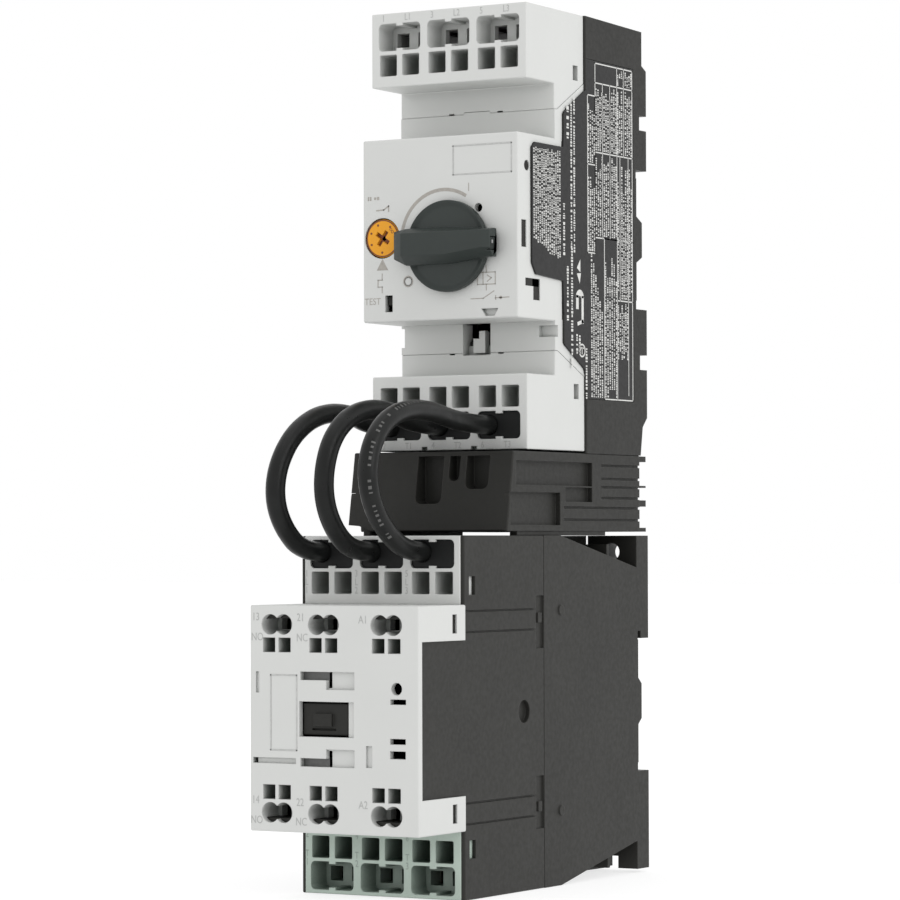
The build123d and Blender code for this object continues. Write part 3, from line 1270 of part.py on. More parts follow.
def build():
    """Every sub-part by name."""
    parts["breaker_base"] = breaker_base()
    parts["breaker_front_cover"] = breaker_front_cover()
    parts["breaker_upper_terminals"] = breaker_terminals(BREAKER_TOP, 1)
    parts["breaker_lower_terminals"] = breaker_terminals(BREAKER_BOTTOM + 0.5, -1)
    parts["side_plate"] = side_plate()
    parts["breaker_marker"] = marker(MARKER_X, MARKER_Z, COLLAR_DEPTH)
    parts["rotary_handle"] = rotary_handle()
    parts["handle_shaft"] = handle_shaft()
    parts["handle_lock_slide"] = handle_lock_slide()
    parts["current_dial"] = current_dial()
    parts["test_slide"] = test_slide()
    parts["breaker_line_contacts"] = breaker_contacts(BREAKER_TOP, 1)
    parts["breaker_load_contacts"] = breaker_contacts(BREAKER_BOTTOM + 0.5, -1)
    parts["breaker_bridges"] = breaker_bridges()
    parts["breaker_carrier"] = breaker_carrier()
    parts["arc_chutes"] = arc_chutes()
    parts["trip_coils"] = trip_coils()
    parts["bimetal_strips"] = bimetal_strips()
    parts["trip_bar"] = trip_bar()
    parts["breaker_upper_clamps"] = breaker_clamps(BREAKER_TOP, 1)
    parts["breaker_lower_clamps"] = breaker_clamps(BREAKER_BOTTOM + 0.5, -1)
    parts["breaker_rail_clip"] = rail_clip(0.0)
    parts["link_bracket"] = link_bracket()
    breaker_funnel = BREAKER_BOTTOM + 0.5 + BREAKER_FUNNEL_IN
    contactor_funnel = C_TOP - CONTACTOR_FUNNEL_IN
    for place, x, route in zip(PLACES, POLE_X, ROUTES):
        entry = x - ENTRY_OFFSET
        parts["wire_" + place] = jumper_wire(route, entry)
        parts["breaker_plug_" + place] = wire_plug(x, entry, TERMINAL_DEPTH, breaker_funnel, BREAKER_WIRE_Z)
        parts["contactor_plug_" + place] = wire_plug(
            x,
            entry,
            CONTACTOR_FACE,
            contactor_funnel,
            CONTACTOR_WIRE_Z,
        )
    parts["contactor_base"] = contactor_base()
    parts["contactor_body"] = contactor_body()
    parts["contactor_cover"] = contactor_cover()
    parts["contactor_upper_terminals"] = contactor_terminals(C_TOP, 1)
    parts["contactor_lower_terminals"] = contactor_terminals(C_BOTTOM, -1)
    parts["contactor_upper_clamps"] = contactor_clamps(C_TOP, 1)
    parts["contactor_lower_clamps"] = contactor_clamps(C_BOTTOM, -1)
    parts["contactor_marker"] = marker(C_MARKER_X, [C_MID + z for z in C_MARKER_Z], COVER_DEPTH)
    parts["position_indicator"] = position_indicator()
    parts["contact_carrier"] = contact_carrier()
    parts["armature"] = armature()
    parts["magnet_core"] = magnet_core()
    parts["core_pad"] = core_pad()
    parts["coil_bobbin"], parts["coil_winding"] = coil_parts()
    parts["contactor_bridges"] = contactor_bridges()
    parts["contact_springs"] = contact_springs()
    parts["contactor_line_contacts"] = contactor_contacts(C_TOP, 1)
    parts["contactor_load_contacts"] = contactor_contacts(C_BOTTOM, -1)
    parts["aux_bridges"] = aux_bridges()
    parts["aux_contacts"] = aux_contacts()
    parts["aux_clamps"] = aux_clamps(AUX_X[:2])
    parts["coil_clamps"] = aux_clamps(AUX_X[2:])
    parts["return_springs"] = return_springs()
    parts["contactor_rail_clip"] = rail_clip(C_RAIL)


build()
os.makedirs("parts", exist_ok=True)
for name, shape in parts.items():
    shape.label = name
    export_step(shape, os.path.join("parts", name + ".step"))
print(len(parts), "parts")
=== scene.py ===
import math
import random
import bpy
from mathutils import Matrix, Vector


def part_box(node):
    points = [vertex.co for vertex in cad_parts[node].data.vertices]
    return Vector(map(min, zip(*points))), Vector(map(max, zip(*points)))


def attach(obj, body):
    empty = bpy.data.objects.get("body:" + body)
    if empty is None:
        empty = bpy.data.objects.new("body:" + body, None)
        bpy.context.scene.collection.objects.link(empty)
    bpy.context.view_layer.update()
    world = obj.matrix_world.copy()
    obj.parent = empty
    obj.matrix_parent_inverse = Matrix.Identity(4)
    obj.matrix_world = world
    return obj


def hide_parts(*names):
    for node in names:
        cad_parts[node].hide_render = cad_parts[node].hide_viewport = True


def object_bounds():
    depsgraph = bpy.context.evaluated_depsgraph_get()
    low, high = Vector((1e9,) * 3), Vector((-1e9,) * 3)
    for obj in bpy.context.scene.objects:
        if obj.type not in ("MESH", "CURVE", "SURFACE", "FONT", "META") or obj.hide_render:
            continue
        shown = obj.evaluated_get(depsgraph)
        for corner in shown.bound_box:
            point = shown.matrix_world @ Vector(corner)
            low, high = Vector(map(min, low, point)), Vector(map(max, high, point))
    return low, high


bl_info = {
    "name": "Motor Starter",
    "version": (1, 0, 0),
    "blender": (4, 5, 0),
    "location": "View3D > Sidebar > Starter",
    "description": "Finishes, prints, wires and stage of a rail-mounted motor starter",
    "category": "Object",
}

import bmesh
import bpy
from mathutils import Matrix, Vector

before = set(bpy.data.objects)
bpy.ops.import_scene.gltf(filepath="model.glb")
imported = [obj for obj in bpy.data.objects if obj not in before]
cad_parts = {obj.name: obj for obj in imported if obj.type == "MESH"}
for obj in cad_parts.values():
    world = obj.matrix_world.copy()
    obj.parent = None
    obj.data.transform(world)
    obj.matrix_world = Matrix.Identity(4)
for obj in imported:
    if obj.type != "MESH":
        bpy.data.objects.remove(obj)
CAD_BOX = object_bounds()
MM = 0.001
HOUSING = "housing"


# ---- places taken from the frame ----


def middle(node):
    """Centre of a CAD node's box."""
    low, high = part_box(node)
    return (low + high) / 2


def face(node):
    """Y of a CAD node's frontmost point."""
    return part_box(node)[0].y


def box_mm(node):
    """Left, bottom, right and top of a CAD node's front outline, in millimetres."""
    low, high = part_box(node)
    return low.x / MM, low.z / MM, high.x / MM, high.z / MM


COLLAR_FACE = face("breaker_front_cover")
TERMINAL_FACE = face("breaker_upper_terminals")
CONTACTOR_FACE = face("contactor_upper_terminals")
COVER_FACE = face("contactor_cover")
HANDLE = middle("rotary_handle")
DIAL = middle("current_dial")
COVER = middle("contactor_cover")
PLATE_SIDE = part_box("side_plate")[1].x
FLOOR_Z = CAD_BOX[0].z
POLE_PITCH = 14.0           # millimetres between two poles' terminals
POLES = (-1, 0, 1)
SIDES = ("left", "middle", "right")


# ---- properties ----


def colour_property(label, description, default):
    return bpy.props.FloatVectorProperty(
        name=label, description=description, default=default, size=3, min=0.0, max=1.0, subtype="COLOR"
    )


def length_property(label, description, default):
    return bpy.props.FloatProperty(
        name=label, description=description, default=default, min=0.0, precision=5,
        subtype="DISTANCE", unit="LENGTH",
    )


class StarterColours(bpy.types.PropertyGroup):
    """Colours of the mouldings, prints and metals."""

    light: colour_property("Light grey", "Covers and terminal blocks", (0.585, 0.592, 0.578))
    # the lower terminals' light grey, with a painted green reflection tinting it
    green: colour_property("Green grey", "Lower contactor terminals", (0.41, 0.485, 0.43))
    black: colour_property("Black", "Bases, link and contactor body", (0.0225, 0.0223, 0.0200))
    handle: colour_property("Handle", "Rotary handle and its lock", (0.027, 0.0335, 0.031))
    plug: colour_property("Plug", "Plugs in the wire entries", (0.007, 0.0075, 0.0075))
    orange: colour_property("Orange", "Current setting dial", (0.72, 0.32, 0.022))
    # brown also paints the shade on the floor of the dial's cross slot
    brown: colour_property("Brown", "Marks and cross slot of the dial", (0.17, 0.045, 0.012))
    taupe: colour_property("Taupe", "Prints on the light covers", (0.36, 0.34, 0.31))
    white: colour_property("White", "Prints on the side plate", (0.62, 0.62, 0.60))
    plate: colour_property("Plate", "Printed side plate", (0.013, 0.013, 0.013))
    wire: colour_property("Wire", "Wire insulation", (0.008, 0.0085, 0.0082))
    copper: colour_property("Copper", "Contacts and bridges", (0.72, 0.36, 0.22))
    steel: colour_property("Steel", "Springs, clamps and cores", (0.52, 0.52, 0.52))
    floor: colour_property("Floor", "Floor under the starter", (0.30, 0.30, 0.30))


class StarterSizes(bpy.types.PropertyGroup):
    """Sizes of the prints, the rounded edges and the wires."""

    rise: length_property("Print rise", "How far a print stands off its face", 0.00003)
    soft: length_property("Soft edge", "Radius of a moulded edge", 0.00035)
    wire: length_property("Wire diameter", "Outer diameter of the insulation", 0.0047)
    letter: length_property("Letter height", "Height of the terminal marks", 0.0019)
    stroke: length_property("Stroke", "Width of a printed line", 0.00024)


def colours():
    return bpy.context.scene.starter_colours


def sizes():
    return bpy.context.scene.starter_sizes


# ---- modelling helpers ----


def at(x, depth, z):
    """A point of the row frame, from millimetres across, forward of the rail seat and up."""
    return Vector((x * MM, -depth * MM, z * MM))


def deselect():
    if bpy.context.object and bpy.context.object.mode != "OBJECT":
        bpy.ops.object.mode_set(mode="OBJECT")
    bpy.ops.object.select_all(action="DESELECT")


def only(obj):
    deselect()
    obj.select_set(True)
    bpy.context.view_layer.objects.active = obj


def settle(obj):
    """Put the object's place, turn and scale into its mesh."""
    only(obj)
    bpy.ops.object.transform_apply(location=True, rotation=True, scale=True)
    return obj


def block(name, centre, size):
    """A box of that size, in place."""
    deselect()
    bpy.ops.mesh.primitive_cube_add(size=1.0, location=centre, scale=size)
    obj = bpy.context.object
    obj.name = name
    return settle(obj)


def drum(name, centre, radius, length, sides):
    """A round body along Y."""
    deselect()
    bpy.ops.mesh.primitive_cylinder_add(
        vertices=sides, radius=radius, depth=length, location=centre, rotation=(math.pi / 2, 0, 0)
    )
    obj = bpy.context.object
    obj.name = name
    return settle(obj)


def pick(obj, mode, test):
    """Select the vertices or the faces of a mesh whose middle passes the test, in edit mode."""
    only(obj)
    bpy.ops.object.mode_set(mode="EDIT")
    bpy.ops.mesh.select_mode(type=mode)
    bpy.ops.mesh.select_all(action="DESELECT")
    mesh = bmesh.from_edit_mesh(obj.data)
    if mode == "VERT":
        for vert in mesh.verts:
            vert.select_set(test(vert.co))
    if mode == "FACE":
        for poly in mesh.faces:
            poly.select_set(test(poly.calc_center_median()))
    mesh.select_flush_mode()
    bmesh.update_edit_mesh(obj.data)


def slice_at(obj, point, normal):
    """Cut a new edge loop through a whole mesh."""
    only(obj)
    bpy.ops.object.mode_set(mode="EDIT")
    bpy.ops.mesh.select_all(action="SELECT")
    bpy.ops.mesh.bisect(plane_co=point, plane_no=normal)
    bpy.ops.object.mode_set(mode="OBJECT")


def move_part(obj, test, offset):
    """Move the points of a mesh that pass the test, by an offset in millimetres."""
    pick(obj, "VERT", test)
    bpy.ops.transform.translate(value=[step * MM for step in offset])
    bpy.ops.object.mode_set(mode="OBJECT")


def rounded(obj, width, segments=3, angle=30):
    """Bevel a piece's edges and smooth it."""
    only(obj)
    bevel = obj.modifiers.new("edges", "BEVEL")
    bevel.width = width
    bevel.segments = segments
    bevel.limit_method = "ANGLE"
    bevel.angle_limit = math.radians(angle)
    bpy.ops.object.modifier_apply(modifier=bevel.name)
    bpy.ops.object.shade_smooth_by_angle(angle=math.radians(40))
    return obj


def joined(name, pieces):
    """Several meshes as one piece."""
    deselect()
    for piece in pieces:
        piece.select_set(True)
    bpy.context.view_layer.objects.active = pieces[0]
    if len(pieces) > 1:
        bpy.ops.object.join()
    obj = bpy.context.object
    obj.name = name
    return settle(obj)


def finish_piece(obj, material, body=HOUSING, replaces=()):
    """Give a piece its material and its body."""
    obj.data.materials.clear()
    obj.data.materials.append(material)
    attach(obj, body)
    if replaces:
        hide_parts(*replaces)


def cut_away(obj, tool):
    """Boolean difference, then the tool goes."""
    only(obj)
    boolean = obj.modifiers.new("cut", "BOOLEAN")
    boolean.operation = "DIFFERENCE"
    boolean.solver = "EXACT"
    boolean.object = tool
    bpy.ops.object.modifier_apply(modifier=boolean.name)
    bpy.data.objects.remove(tool)


# ---- printed marks ----

ARC_STEP = 6                # degrees of an arc in one straight piece
LETTER_FILL = 1.38          # text size that gives a capital letter a height of about 1
# bars of the fine print, as parts of its height
SCRIBBLE_WIDTHS = (0.25, 0.75)
SCRIBBLE_HEIGHTS = (0.62, 0.8, 1.0)
SCRIBBLE_GAPS = (0.22, 0.22, 0.3, 0.8)
SCRIBBLE_END = 0.3          # a shorter rest of a row stays empty
MARKER_GAP = 0.05           # the outline's middle lies this far outside a marker plate
MARKER_STROKE = 0.3


class Print:
    """Thin raised marks on one flat face, gathered into one piece.

    across and up are the face's own directions, out points off the face."""

    def __init__(self, origin, across, up):
        self.origin = Vector(origin)
        self.across = Vector(across)
        self.up = Vector(up)
        self.out = self.across.cross(self.up)
        self.mesh = bmesh.new()
        self.words = []

    def place(self, u, v, lift):
        """A point of the face, lift metres off it."""
        return self.origin + self.across * (u * MM) + self.up * (v * MM) + self.out * lift

    def shape(self, outline):
        """A filled outline of (u, v) points in millimetres, with thickness."""
        rise = sizes().rise
        area = sum(a[0] * b[1] - b[0] * a[1] for a, b in zip(outline, outline[1:] + outline[:1]))
        ordered = outline if area > 0 else outline[::-1]
        back = [self.mesh.verts.new(self.place(u, v, -rise)) for u, v in ordered]
        front = [self.mesh.verts.new(self.place(u, v, rise)) for u, v in ordered]
        self.mesh.faces.new(front)
        self.mesh.faces.new(back[::-1])
        for i in range(len(ordered)):
            j = (i + 1) % len(ordered)
            self.mesh.faces.new((back[i], back[j], front[j], front[i]))

    def bar(self, u0, v0, u1, v1):
        """A filled rectangle."""
        self.shape([(u0, v0), (u1, v0), (u1, v1), (u0, v1)])

    def line(self, points, width=None):
        """A stroke through several points."""
        half = (width or sizes().stroke / MM) / 2
        for (u0, v0), (u1, v1) in zip(points, points[1:]):
            length = math.hypot(u1 - u0, v1 - v0)
            du, dv = (u1 - u0) / length * half, (v1 - v0) / length * half
            self.shape([
                (u0 - du + dv, v0 - dv - du),
                (u1 + du + dv, v1 + dv - du),
                (u1 + du - dv, v1 + dv + du),
                (u0 - du - dv, v0 - dv + du),
            ])

    def frame(self, u0, v0, u1, v1, width=None):
        """An outlined rectangle."""
        self.line([(u0, v0), (u1, v0), (u1, v1), (u0, v1), (u0, v0)], width)

    def arc(self, u, v, radius, start, end, width):
        """Part of a ring, from one angle to another in degrees."""
        steps = max(4, int(abs(end - start) / ARC_STEP))
        angles = [math.radians(start + (end - start) * i / steps) for i in range(steps + 1)]
        inner, outer = radius - width / 2, radius + width / 2
        for a, b in zip(angles, angles[1:]):
            corners = ((a, inner), (a, outer), (b, outer), (b, inner))
            self.shape([(u + r * math.cos(turn), v + r * math.sin(turn)) for turn, r in corners])

    def disc(self, u, v, radius, sides=20):
        """A filled circle."""
        angles = [2 * math.pi * i / sides for i in range(sides)]
        self.shape([(u + radius * math.cos(a), v + radius * math.sin(a)) for a in angles])

    def text(self, words, u, v, height=None, squeeze=0.82):
        """Upright letters centred on a point."""
        deselect()
        bpy.ops.object.text_add()
        letters = bpy.context.object
        letters.data.body = words
        letters.data.align_x = "CENTER"
        letters.data.align_y = "CENTER"
        letters.data.size = (height or sizes().letter) * LETTER_FILL
        letters.data.extrude = sizes().rise
        letters.data.resolution_u = 3
        bpy.ops.object.convert(target="MESH")
        letters = bpy.context.object
        basis = Matrix((self.across, self.up, self.out)).transposed().to_4x4()
        narrow = Matrix.Diagonal((squeeze, 1, 1, 1))
        letters.data.transform(Matrix.Translation(self.place(u, v, 0)) @ basis @ narrow)
        self.words.append(letters)

    def scribble(self, u0, u1, v, height, source, upright=False):
        """A row of short bars along a line, as fine print too small to read."""
        place = u0
        while place < u1 - height * SCRIBBLE_END:
            width = source.uniform(*SCRIBBLE_WIDTHS) * height
            tall = height * source.choice(SCRIBBLE_HEIGHTS)
            end = min(place + width, u1)
            if upright:
                self.bar(v - tall / 2, place, v + tall / 2, end)
            else:
                self.bar(place, v - tall / 2, end, v + tall / 2)
            place = end + height * source.choice(SCRIBBLE_GAPS)

    def column(self, u, low, high, height, source):
        """Fine print that runs up the face."""
        self.scribble(low, high, u, height, source, upright=True)

    def piece(self, name, material, body=HOUSING, slot="light_grey_plastic"):
        """The finished print as one object."""
        mesh = bpy.data.meshes.new(name)
        self.mesh.to_mesh(mesh)
        self.mesh.free()
        obj = bpy.data.objects.new(name, mesh)
        bpy.context.collection.objects.link(obj)
        finish_piece(joined(name, [obj] + self.words), material, body)


def front_print(y):
    """A print on a face that looks forward; u is x and v is z, in millimetres."""
    return Print((0, y, 0), (1, 0, 0), (0, 0, 1))


def side_print(x):
    """A print on the right side; u is minus the depth and v is z, in millimetres."""
    return Print((x, 0, 0), (0, 1, 0), (0, 0, 1))


def marker_line(node, y, name):
    """A pale line along the gap round a marker plate."""
    left, bottom, right, top = box_mm(node)
    outline = front_print(y)
    gap = MARKER_GAP
    outline.frame(left - gap, bottom - gap, right + gap, top + gap, MARKER_STROKE)
    outline.piece(name, MADE["faint"])


# ---- materials ----

EDGE_SAMPLES = 6
EDGE_RANGE = (0.995, 0.80)  # from a flat face to a sharp edge, as the dot of its two normals
RECESS_SAMPLES = 4
RECESS_RANGE = (0.04, 0.40) # unshadowed share, from a deep recess to an open face
ROUGHNESS_SPREAD = 0.06
# colours that no panel setting changes
# painted shade: the colours that the light grey and the lower terminals' plastics darken to inside narrow
# openings
LIGHT_PAINTED_SHADE = (0.085, 0.10, 0.088)
REFLECTED_GREEN_PAINTED_SHADE = (0.06, 0.085, 0.068)
RUBBER = (0.03, 0.03, 0.03)


class Recipe:
    """A procedural material under construction."""

    def __init__(self, name, roughness, metallic=0.0, specular=0.5, coat=0.0):
        self.material = bpy.data.materials.new(name)
        self.material.use_nodes = True
        self.nodes = self.material.node_tree.nodes
        self.links = self.material.node_tree.links
        self.shader = self.nodes["Principled BSDF"]
        self.shader.inputs["Roughness"].default_value = roughness
        self.shader.inputs["Metallic"].default_value = metallic
        self.shader.inputs["Specular IOR Level"].default_value = specular
        self.shader.inputs["Coat Weight"].default_value = coat
        self.place = self.nodes.new("ShaderNodeTexCoord").outputs["Object"]

    def noise(self, scale, detail=3.0, roughness=0.5):
        """Noise over the piece's own place, with about scale cells to the metre."""
        node = self.nodes.new("ShaderNodeTexNoise")
        node.inputs["Scale"].default_value = scale
        node.inputs["Detail"].default_value = detail
        node.inputs["Roughness"].default_value = roughness
        self.links.new(self.place, node.inputs["Vector"])
        return node.outputs["Fac"]

    def spread(self, value, low, high, from_low=0.3, from_high=0.7):
        """A value stretched from one range to another."""
        node = self.nodes.new("ShaderNodeMapRange")
        node.inputs["From Min"].default_value = from_low
        node.inputs["From Max"].default_value = from_high
        node.inputs["To Min"].default_value = low
        node.inputs["To Max"].default_value = high
        self.links.new(value, node.inputs["Value"])
        return node.outputs["Result"]

    def blend(self, factor, first, second):
        """Mix two colours, each a plain colour or a socket."""
        node = self.nodes.new("ShaderNodeMix")
        node.data_type = "RGBA"
        self.links.new(factor, node.inputs["Factor"])
        for key, colour in (("A", first), ("B", second)):
            socket = next(s for s in node.inputs if s.name == key and s.type == "RGBA")
            if isinstance(colour, bpy.types.NodeSocket):
                self.links.new(colour, socket)
            else:
                socket.default_value = (*colour[:3], 1.0)
        return next(s for s in node.outputs if s.type == "RGBA")

    def edge(self, radius):
        """1 along a piece's sharp edges, fading to 0 on its flats, and the softened normal."""
        bevel = self.nodes.new("ShaderNodeBevel")
        bevel.samples = EDGE_SAMPLES
        bevel.inputs["Radius"].default_value = radius
        geometry = self.nodes.new("ShaderNodeNewGeometry")
        dot = self.nodes.new("ShaderNodeVectorMath")
        dot.operation = "DOT_PRODUCT"
        self.links.new(bevel.outputs["Normal"], dot.inputs[0])
        self.links.new(geometry.outputs["Normal"], dot.inputs[1])
        return self.spread(dot.outputs["Value"], 0.0, 1.0, *EDGE_RANGE), bevel.outputs["Normal"]

    def recess(self, reach):
        """1 on open faces, falling to 0 deep inside narrow openings."""
        shadow = self.nodes.new("ShaderNodeAmbientOcclusion")
        shadow.samples = RECESS_SAMPLES
        shadow.inputs["Distance"].default_value = reach
        return self.spread(shadow.outputs["AO"], 0.0, 1.0, *RECESS_RANGE)

    def bump(self, height, distance, normal=None):
        """Fine relief on top of another normal, its distance in metres."""
        node = self.nodes.new("ShaderNodeBump")
        node.inputs["Strength"].default_value = 1.0
        node.inputs["Distance"].default_value = distance
        self.links.new(height, node.inputs["Height"])
        if normal is not None:
            self.links.new(normal, node.inputs["Normal"])
        self.links.new(node.outputs["Normal"], self.shader.inputs["Normal"])

    def colour(self, value):
        """The base colour, a plain colour or a socket."""
        if isinstance(value, bpy.types.NodeSocket):
            self.links.new(value, self.shader.inputs["Base Color"])
        else:
            self.shader.inputs["Base Color"].default_value = (*value[:3], 1.0)

    def roughness(self, value):
        """The roughness, from a socket."""
        self.links.new(value, self.shader.inputs["Roughness"])


def shade(colour, factor):
    """A colour made darker or lighter."""
    return tuple(min(1.0, channel * factor) for channel in colour)


def moulded(
    name, colour, roughness, grain=0.000012, edge_wear_and_highlight=1.12, cloud=0.05, specular=0.22, painted_shade=None, reach=0.006
):
    """Injection-moulded plastic: fine spark texture, faint clouding, and paler edges that are partly wear
    and partly painted highlight.

    painted_shade is the colour of the painted shade that darkens the plastic inside openings narrower than
    reach."""
    recipe = Recipe(name, roughness, specular=specular)
    clouds = recipe.spread(recipe.noise(55.0, 4.0), 0.0, 1.0)
    flow = recipe.blend(clouds, shade(colour, 1.0 - cloud), shade(colour, 1.0 + cloud))
    edges, normal = recipe.edge(sizes().soft)
    # paler edges: partly wear, partly painted highlight
    wear_and_painted_light = recipe.blend(edges, flow, shade(colour, edge_wear_and_highlight))
    # painted shade: the colour darkens towards painted_shade inside narrow openings, by ambient occlusion
    if painted_shade:
        wear_and_painted_light = recipe.blend(recipe.recess(reach), painted_shade, wear_and_painted_light)
    recipe.colour(wear_and_painted_light)
    uneven = recipe.noise(900.0, 2.0)
    recipe.roughness(recipe.spread(uneven, roughness - ROUGHNESS_SPREAD, roughness + ROUGHNESS_SPREAD))
    recipe.bump(recipe.noise(4200.0, 2.0, 0.6), grain, normal)
    return recipe.material


def printed(name, colour):
    """Pad-printed ink, slightly uneven; the painted shade sheets in the latch gaps and in the dial's cross
    slot use it too.
    """
    recipe = Recipe(name, 0.55)
    patch = recipe.spread(recipe.noise(1400.0, 3.0), 0.0, 1.0)
    recipe.colour(recipe.blend(patch, shade(colour, 0.88), shade(colour, 1.06)))
    recipe.bump(recipe.noise(6000.0), 0.000004)
    return recipe.material


def insulation(name, colour):
    """Extruded wire insulation: satin, with faint drag lines and dust."""
    recipe = Recipe(name, 0.32, specular=0.2)
    dust = recipe.spread(recipe.noise(260.0, 5.0), 0.0, 1.0, 0.45, 0.85)
    recipe.colour(recipe.blend(dust, colour, shade(colour, 1.5)))
    recipe.roughness(recipe.spread(recipe.noise(500.0), 0.27, 0.42))
    recipe.bump(recipe.noise(1500.0, 4.0), 0.00002)
    return recipe.material


def stamped(name, colour, roughness):
    """Stamped metal strip with rolling marks."""
    recipe = Recipe(name, roughness, metallic=1.0)
    stretch = recipe.nodes.new("ShaderNodeMapping")
    stretch.inputs["Scale"].default_value = (1.0, 1.0, 12.0)
    recipe.links.new(recipe.place, stretch.inputs["Vector"])
    recipe.place = stretch.outputs["Vector"]
    rolling = recipe.noise(700.0, 4.0)
    streaks = recipe.spread(rolling, 0.0, 1.0)
    recipe.colour(recipe.blend(streaks, shade(colour, 0.86), shade(colour, 1.08)))
    recipe.roughness(recipe.spread(rolling, roughness - 0.08, roughness + 0.1))
    recipe.bump(rolling, 0.00001)
    return recipe.material


def wound(name, colour):
    """Enamelled wire wound in close turns."""
    recipe = Recipe(name, 0.3, metallic=0.85, coat=0.4)
    wave = recipe.nodes.new("ShaderNodeTexWave")
    wave.bands_direction = "Y"
    wave.inputs["Scale"].default_value = 900.0
    wave.inputs["Distortion"].default_value = 0.6
    recipe.links.new(recipe.place, wave.inputs["Vector"])
    recipe.colour(recipe.blend(wave.outputs["Fac"], shade(colour, 0.55), colour))
    recipe.bump(wave.outputs["Fac"], 0.00012)
    return recipe.material


def foam_rubber(name, colour):
    """Matt rubber pad."""
    recipe = Recipe(name, 0.85, specular=0.3)
    pores = recipe.noise(2200.0, 3.0)
    patches = recipe.spread(pores, 0.0, 1.0)
    recipe.colour(recipe.blend(patches, shade(colour, 0.8), shade(colour, 1.3)))
    recipe.bump(pores, 0.00004)
    return recipe.material


MADE = {}


def make_materials():
    """Every finish of the starter, by name."""
    c = colours()
    MADE["light"] = moulded(
        "light_moulding", c.light, 0.5, edge_wear_and_highlight=1.08, cloud=0.012, specular=0.4, painted_shade=LIGHT_PAINTED_SHADE
    )
    # painted reflection: the green tint of the lower terminal block is reflected light painted into its
    # colour
    MADE["green"] = moulded(
        "grey_and_reflected_green_moulding", c.green, 0.5, cloud=0.03, specular=0.4, painted_shade=REFLECTED_GREEN_PAINTED_SHADE, reach=0.016
    )
    coarse = {"grain": 0.00002, "cloud": 0.08}
    MADE["black"] = moulded("black_moulding", c.black, 0.5, edge_wear_and_highlight=1.5, **coarse)
    MADE["base"] = moulded("base_moulding", shade(c.black, 0.85), 0.48, edge_wear_and_highlight=1.8, **coarse)
    MADE["link"] = moulded("link_moulding", shade(c.black, 0.9), 0.5, edge_wear_and_highlight=1.8, **coarse)
    MADE["handle"] = moulded("handle_moulding", c.handle, 0.42, edge_wear_and_highlight=1.6, cloud=0.07, specular=0.3)
    MADE["lock"] = moulded("lock_moulding", shade(c.handle, 0.7), 0.5, edge_wear_and_highlight=2.4, cloud=0.1)
    MADE["plug"] = moulded("plug_moulding", c.plug, 0.5, edge_wear_and_highlight=2.0, cloud=0.1)
    MADE["inner"] = moulded("inner_moulding", shade(c.black, 0.9), 0.55, edge_wear_and_highlight=1.5, cloud=0.05)
    MADE["orange"] = moulded("orange_moulding", c.orange, 0.35, edge_wear_and_highlight=1.05, cloud=0.03)
    MADE["marker"] = moulded(
        "marker_plate", c.light, 0.45, grain=0.000004, edge_wear_and_highlight=1.02, cloud=0.01, specular=0.4
    )
    MADE["plate"] = moulded("plate_film", c.plate, 0.42, grain=0.000006, edge_wear_and_highlight=3.0, cloud=0.05)
    MADE["brown"] = printed("brown_ink", c.brown)
    MADE["taupe"] = printed("taupe_ink", c.taupe)
    MADE["pale"] = printed("pale_ink", shade(c.light, 0.68))
    MADE["faint"] = printed("faint_ink", shade(c.light, 0.8))
    # painted shade: the flat dark colour of the latch gaps' floors
    MADE["shadow"] = printed("shadow_floor", shade(c.light, 0.24))
    # the marks' green tint carries the painted reflection too
    MADE["moss"] = printed("moss_ink", shade(c.green, 0.6))
    MADE["white"] = printed("white_ink", c.white)
    MADE["wire_ink"] = printed("wire_ink", shade(c.white, 0.14))
    MADE["wire"] = insulation("wire_insulation", c.wire)
    MADE["copper"] = stamped("copper_strip", c.copper, 0.34)
    MADE["steel"] = stamped("steel_strip", c.steel, 0.36)
    MADE["core"] = stamped("core_sheet", shade(c.steel, 0.7), 0.45)
    MADE["winding"] = wound("winding", shade(c.copper, 0.75))
    MADE["rubber"] = foam_rubber("pad_rubber", RUBBER)


NODE_FINISH = {
    "light": [
        "breaker_front_cover", "breaker_upper_terminals", "breaker_lower_terminals",
        "contactor_cover", "contactor_upper_terminals",
    ],
    "green": ["contactor_lower_terminals"],
    "black": ["contactor_base", "contactor_body"],
    "base": ["breaker_base", "breaker_rail_clip", "contactor_rail_clip"],
    "link": ["link_bracket"],
    "handle": ["handle_shaft", "rotary_handle"],
    "lock": ["handle_lock_slide"],
    "inner": [
        "test_slide", "trip_bar", "breaker_carrier", "contact_carrier", "coil_bobbin", "position_indicator",
    ],
    "orange": ["current_dial"],
    "marker": ["breaker_marker", "contactor_marker"],
    "plate": ["side_plate"],
    "copper": [
        "breaker_line_contacts", "breaker_load_contacts", "breaker_bridges", "contactor_line_contacts",
        "contactor_load_contacts", "contactor_bridges", "aux_bridges", "aux_contacts",
    ],
    "steel": [
        "breaker_upper_clamps", "breaker_lower_clamps", "contactor_upper_clamps", "contactor_lower_clamps",
        "aux_clamps", "coil_clamps", "return_springs", "contact_springs", "bimetal_strips",
    ],
    "core": ["magnet_core", "armature", "arc_chutes"],
    "winding": ["coil_winding", "trip_coils"],
    "rubber": ["core_pad"],
    "plug": ["%s_plug_%s" % (end, side) for end in ("breaker", "contactor") for side in SIDES],
    "wire": ["wire_" + side for side in SIDES],
}


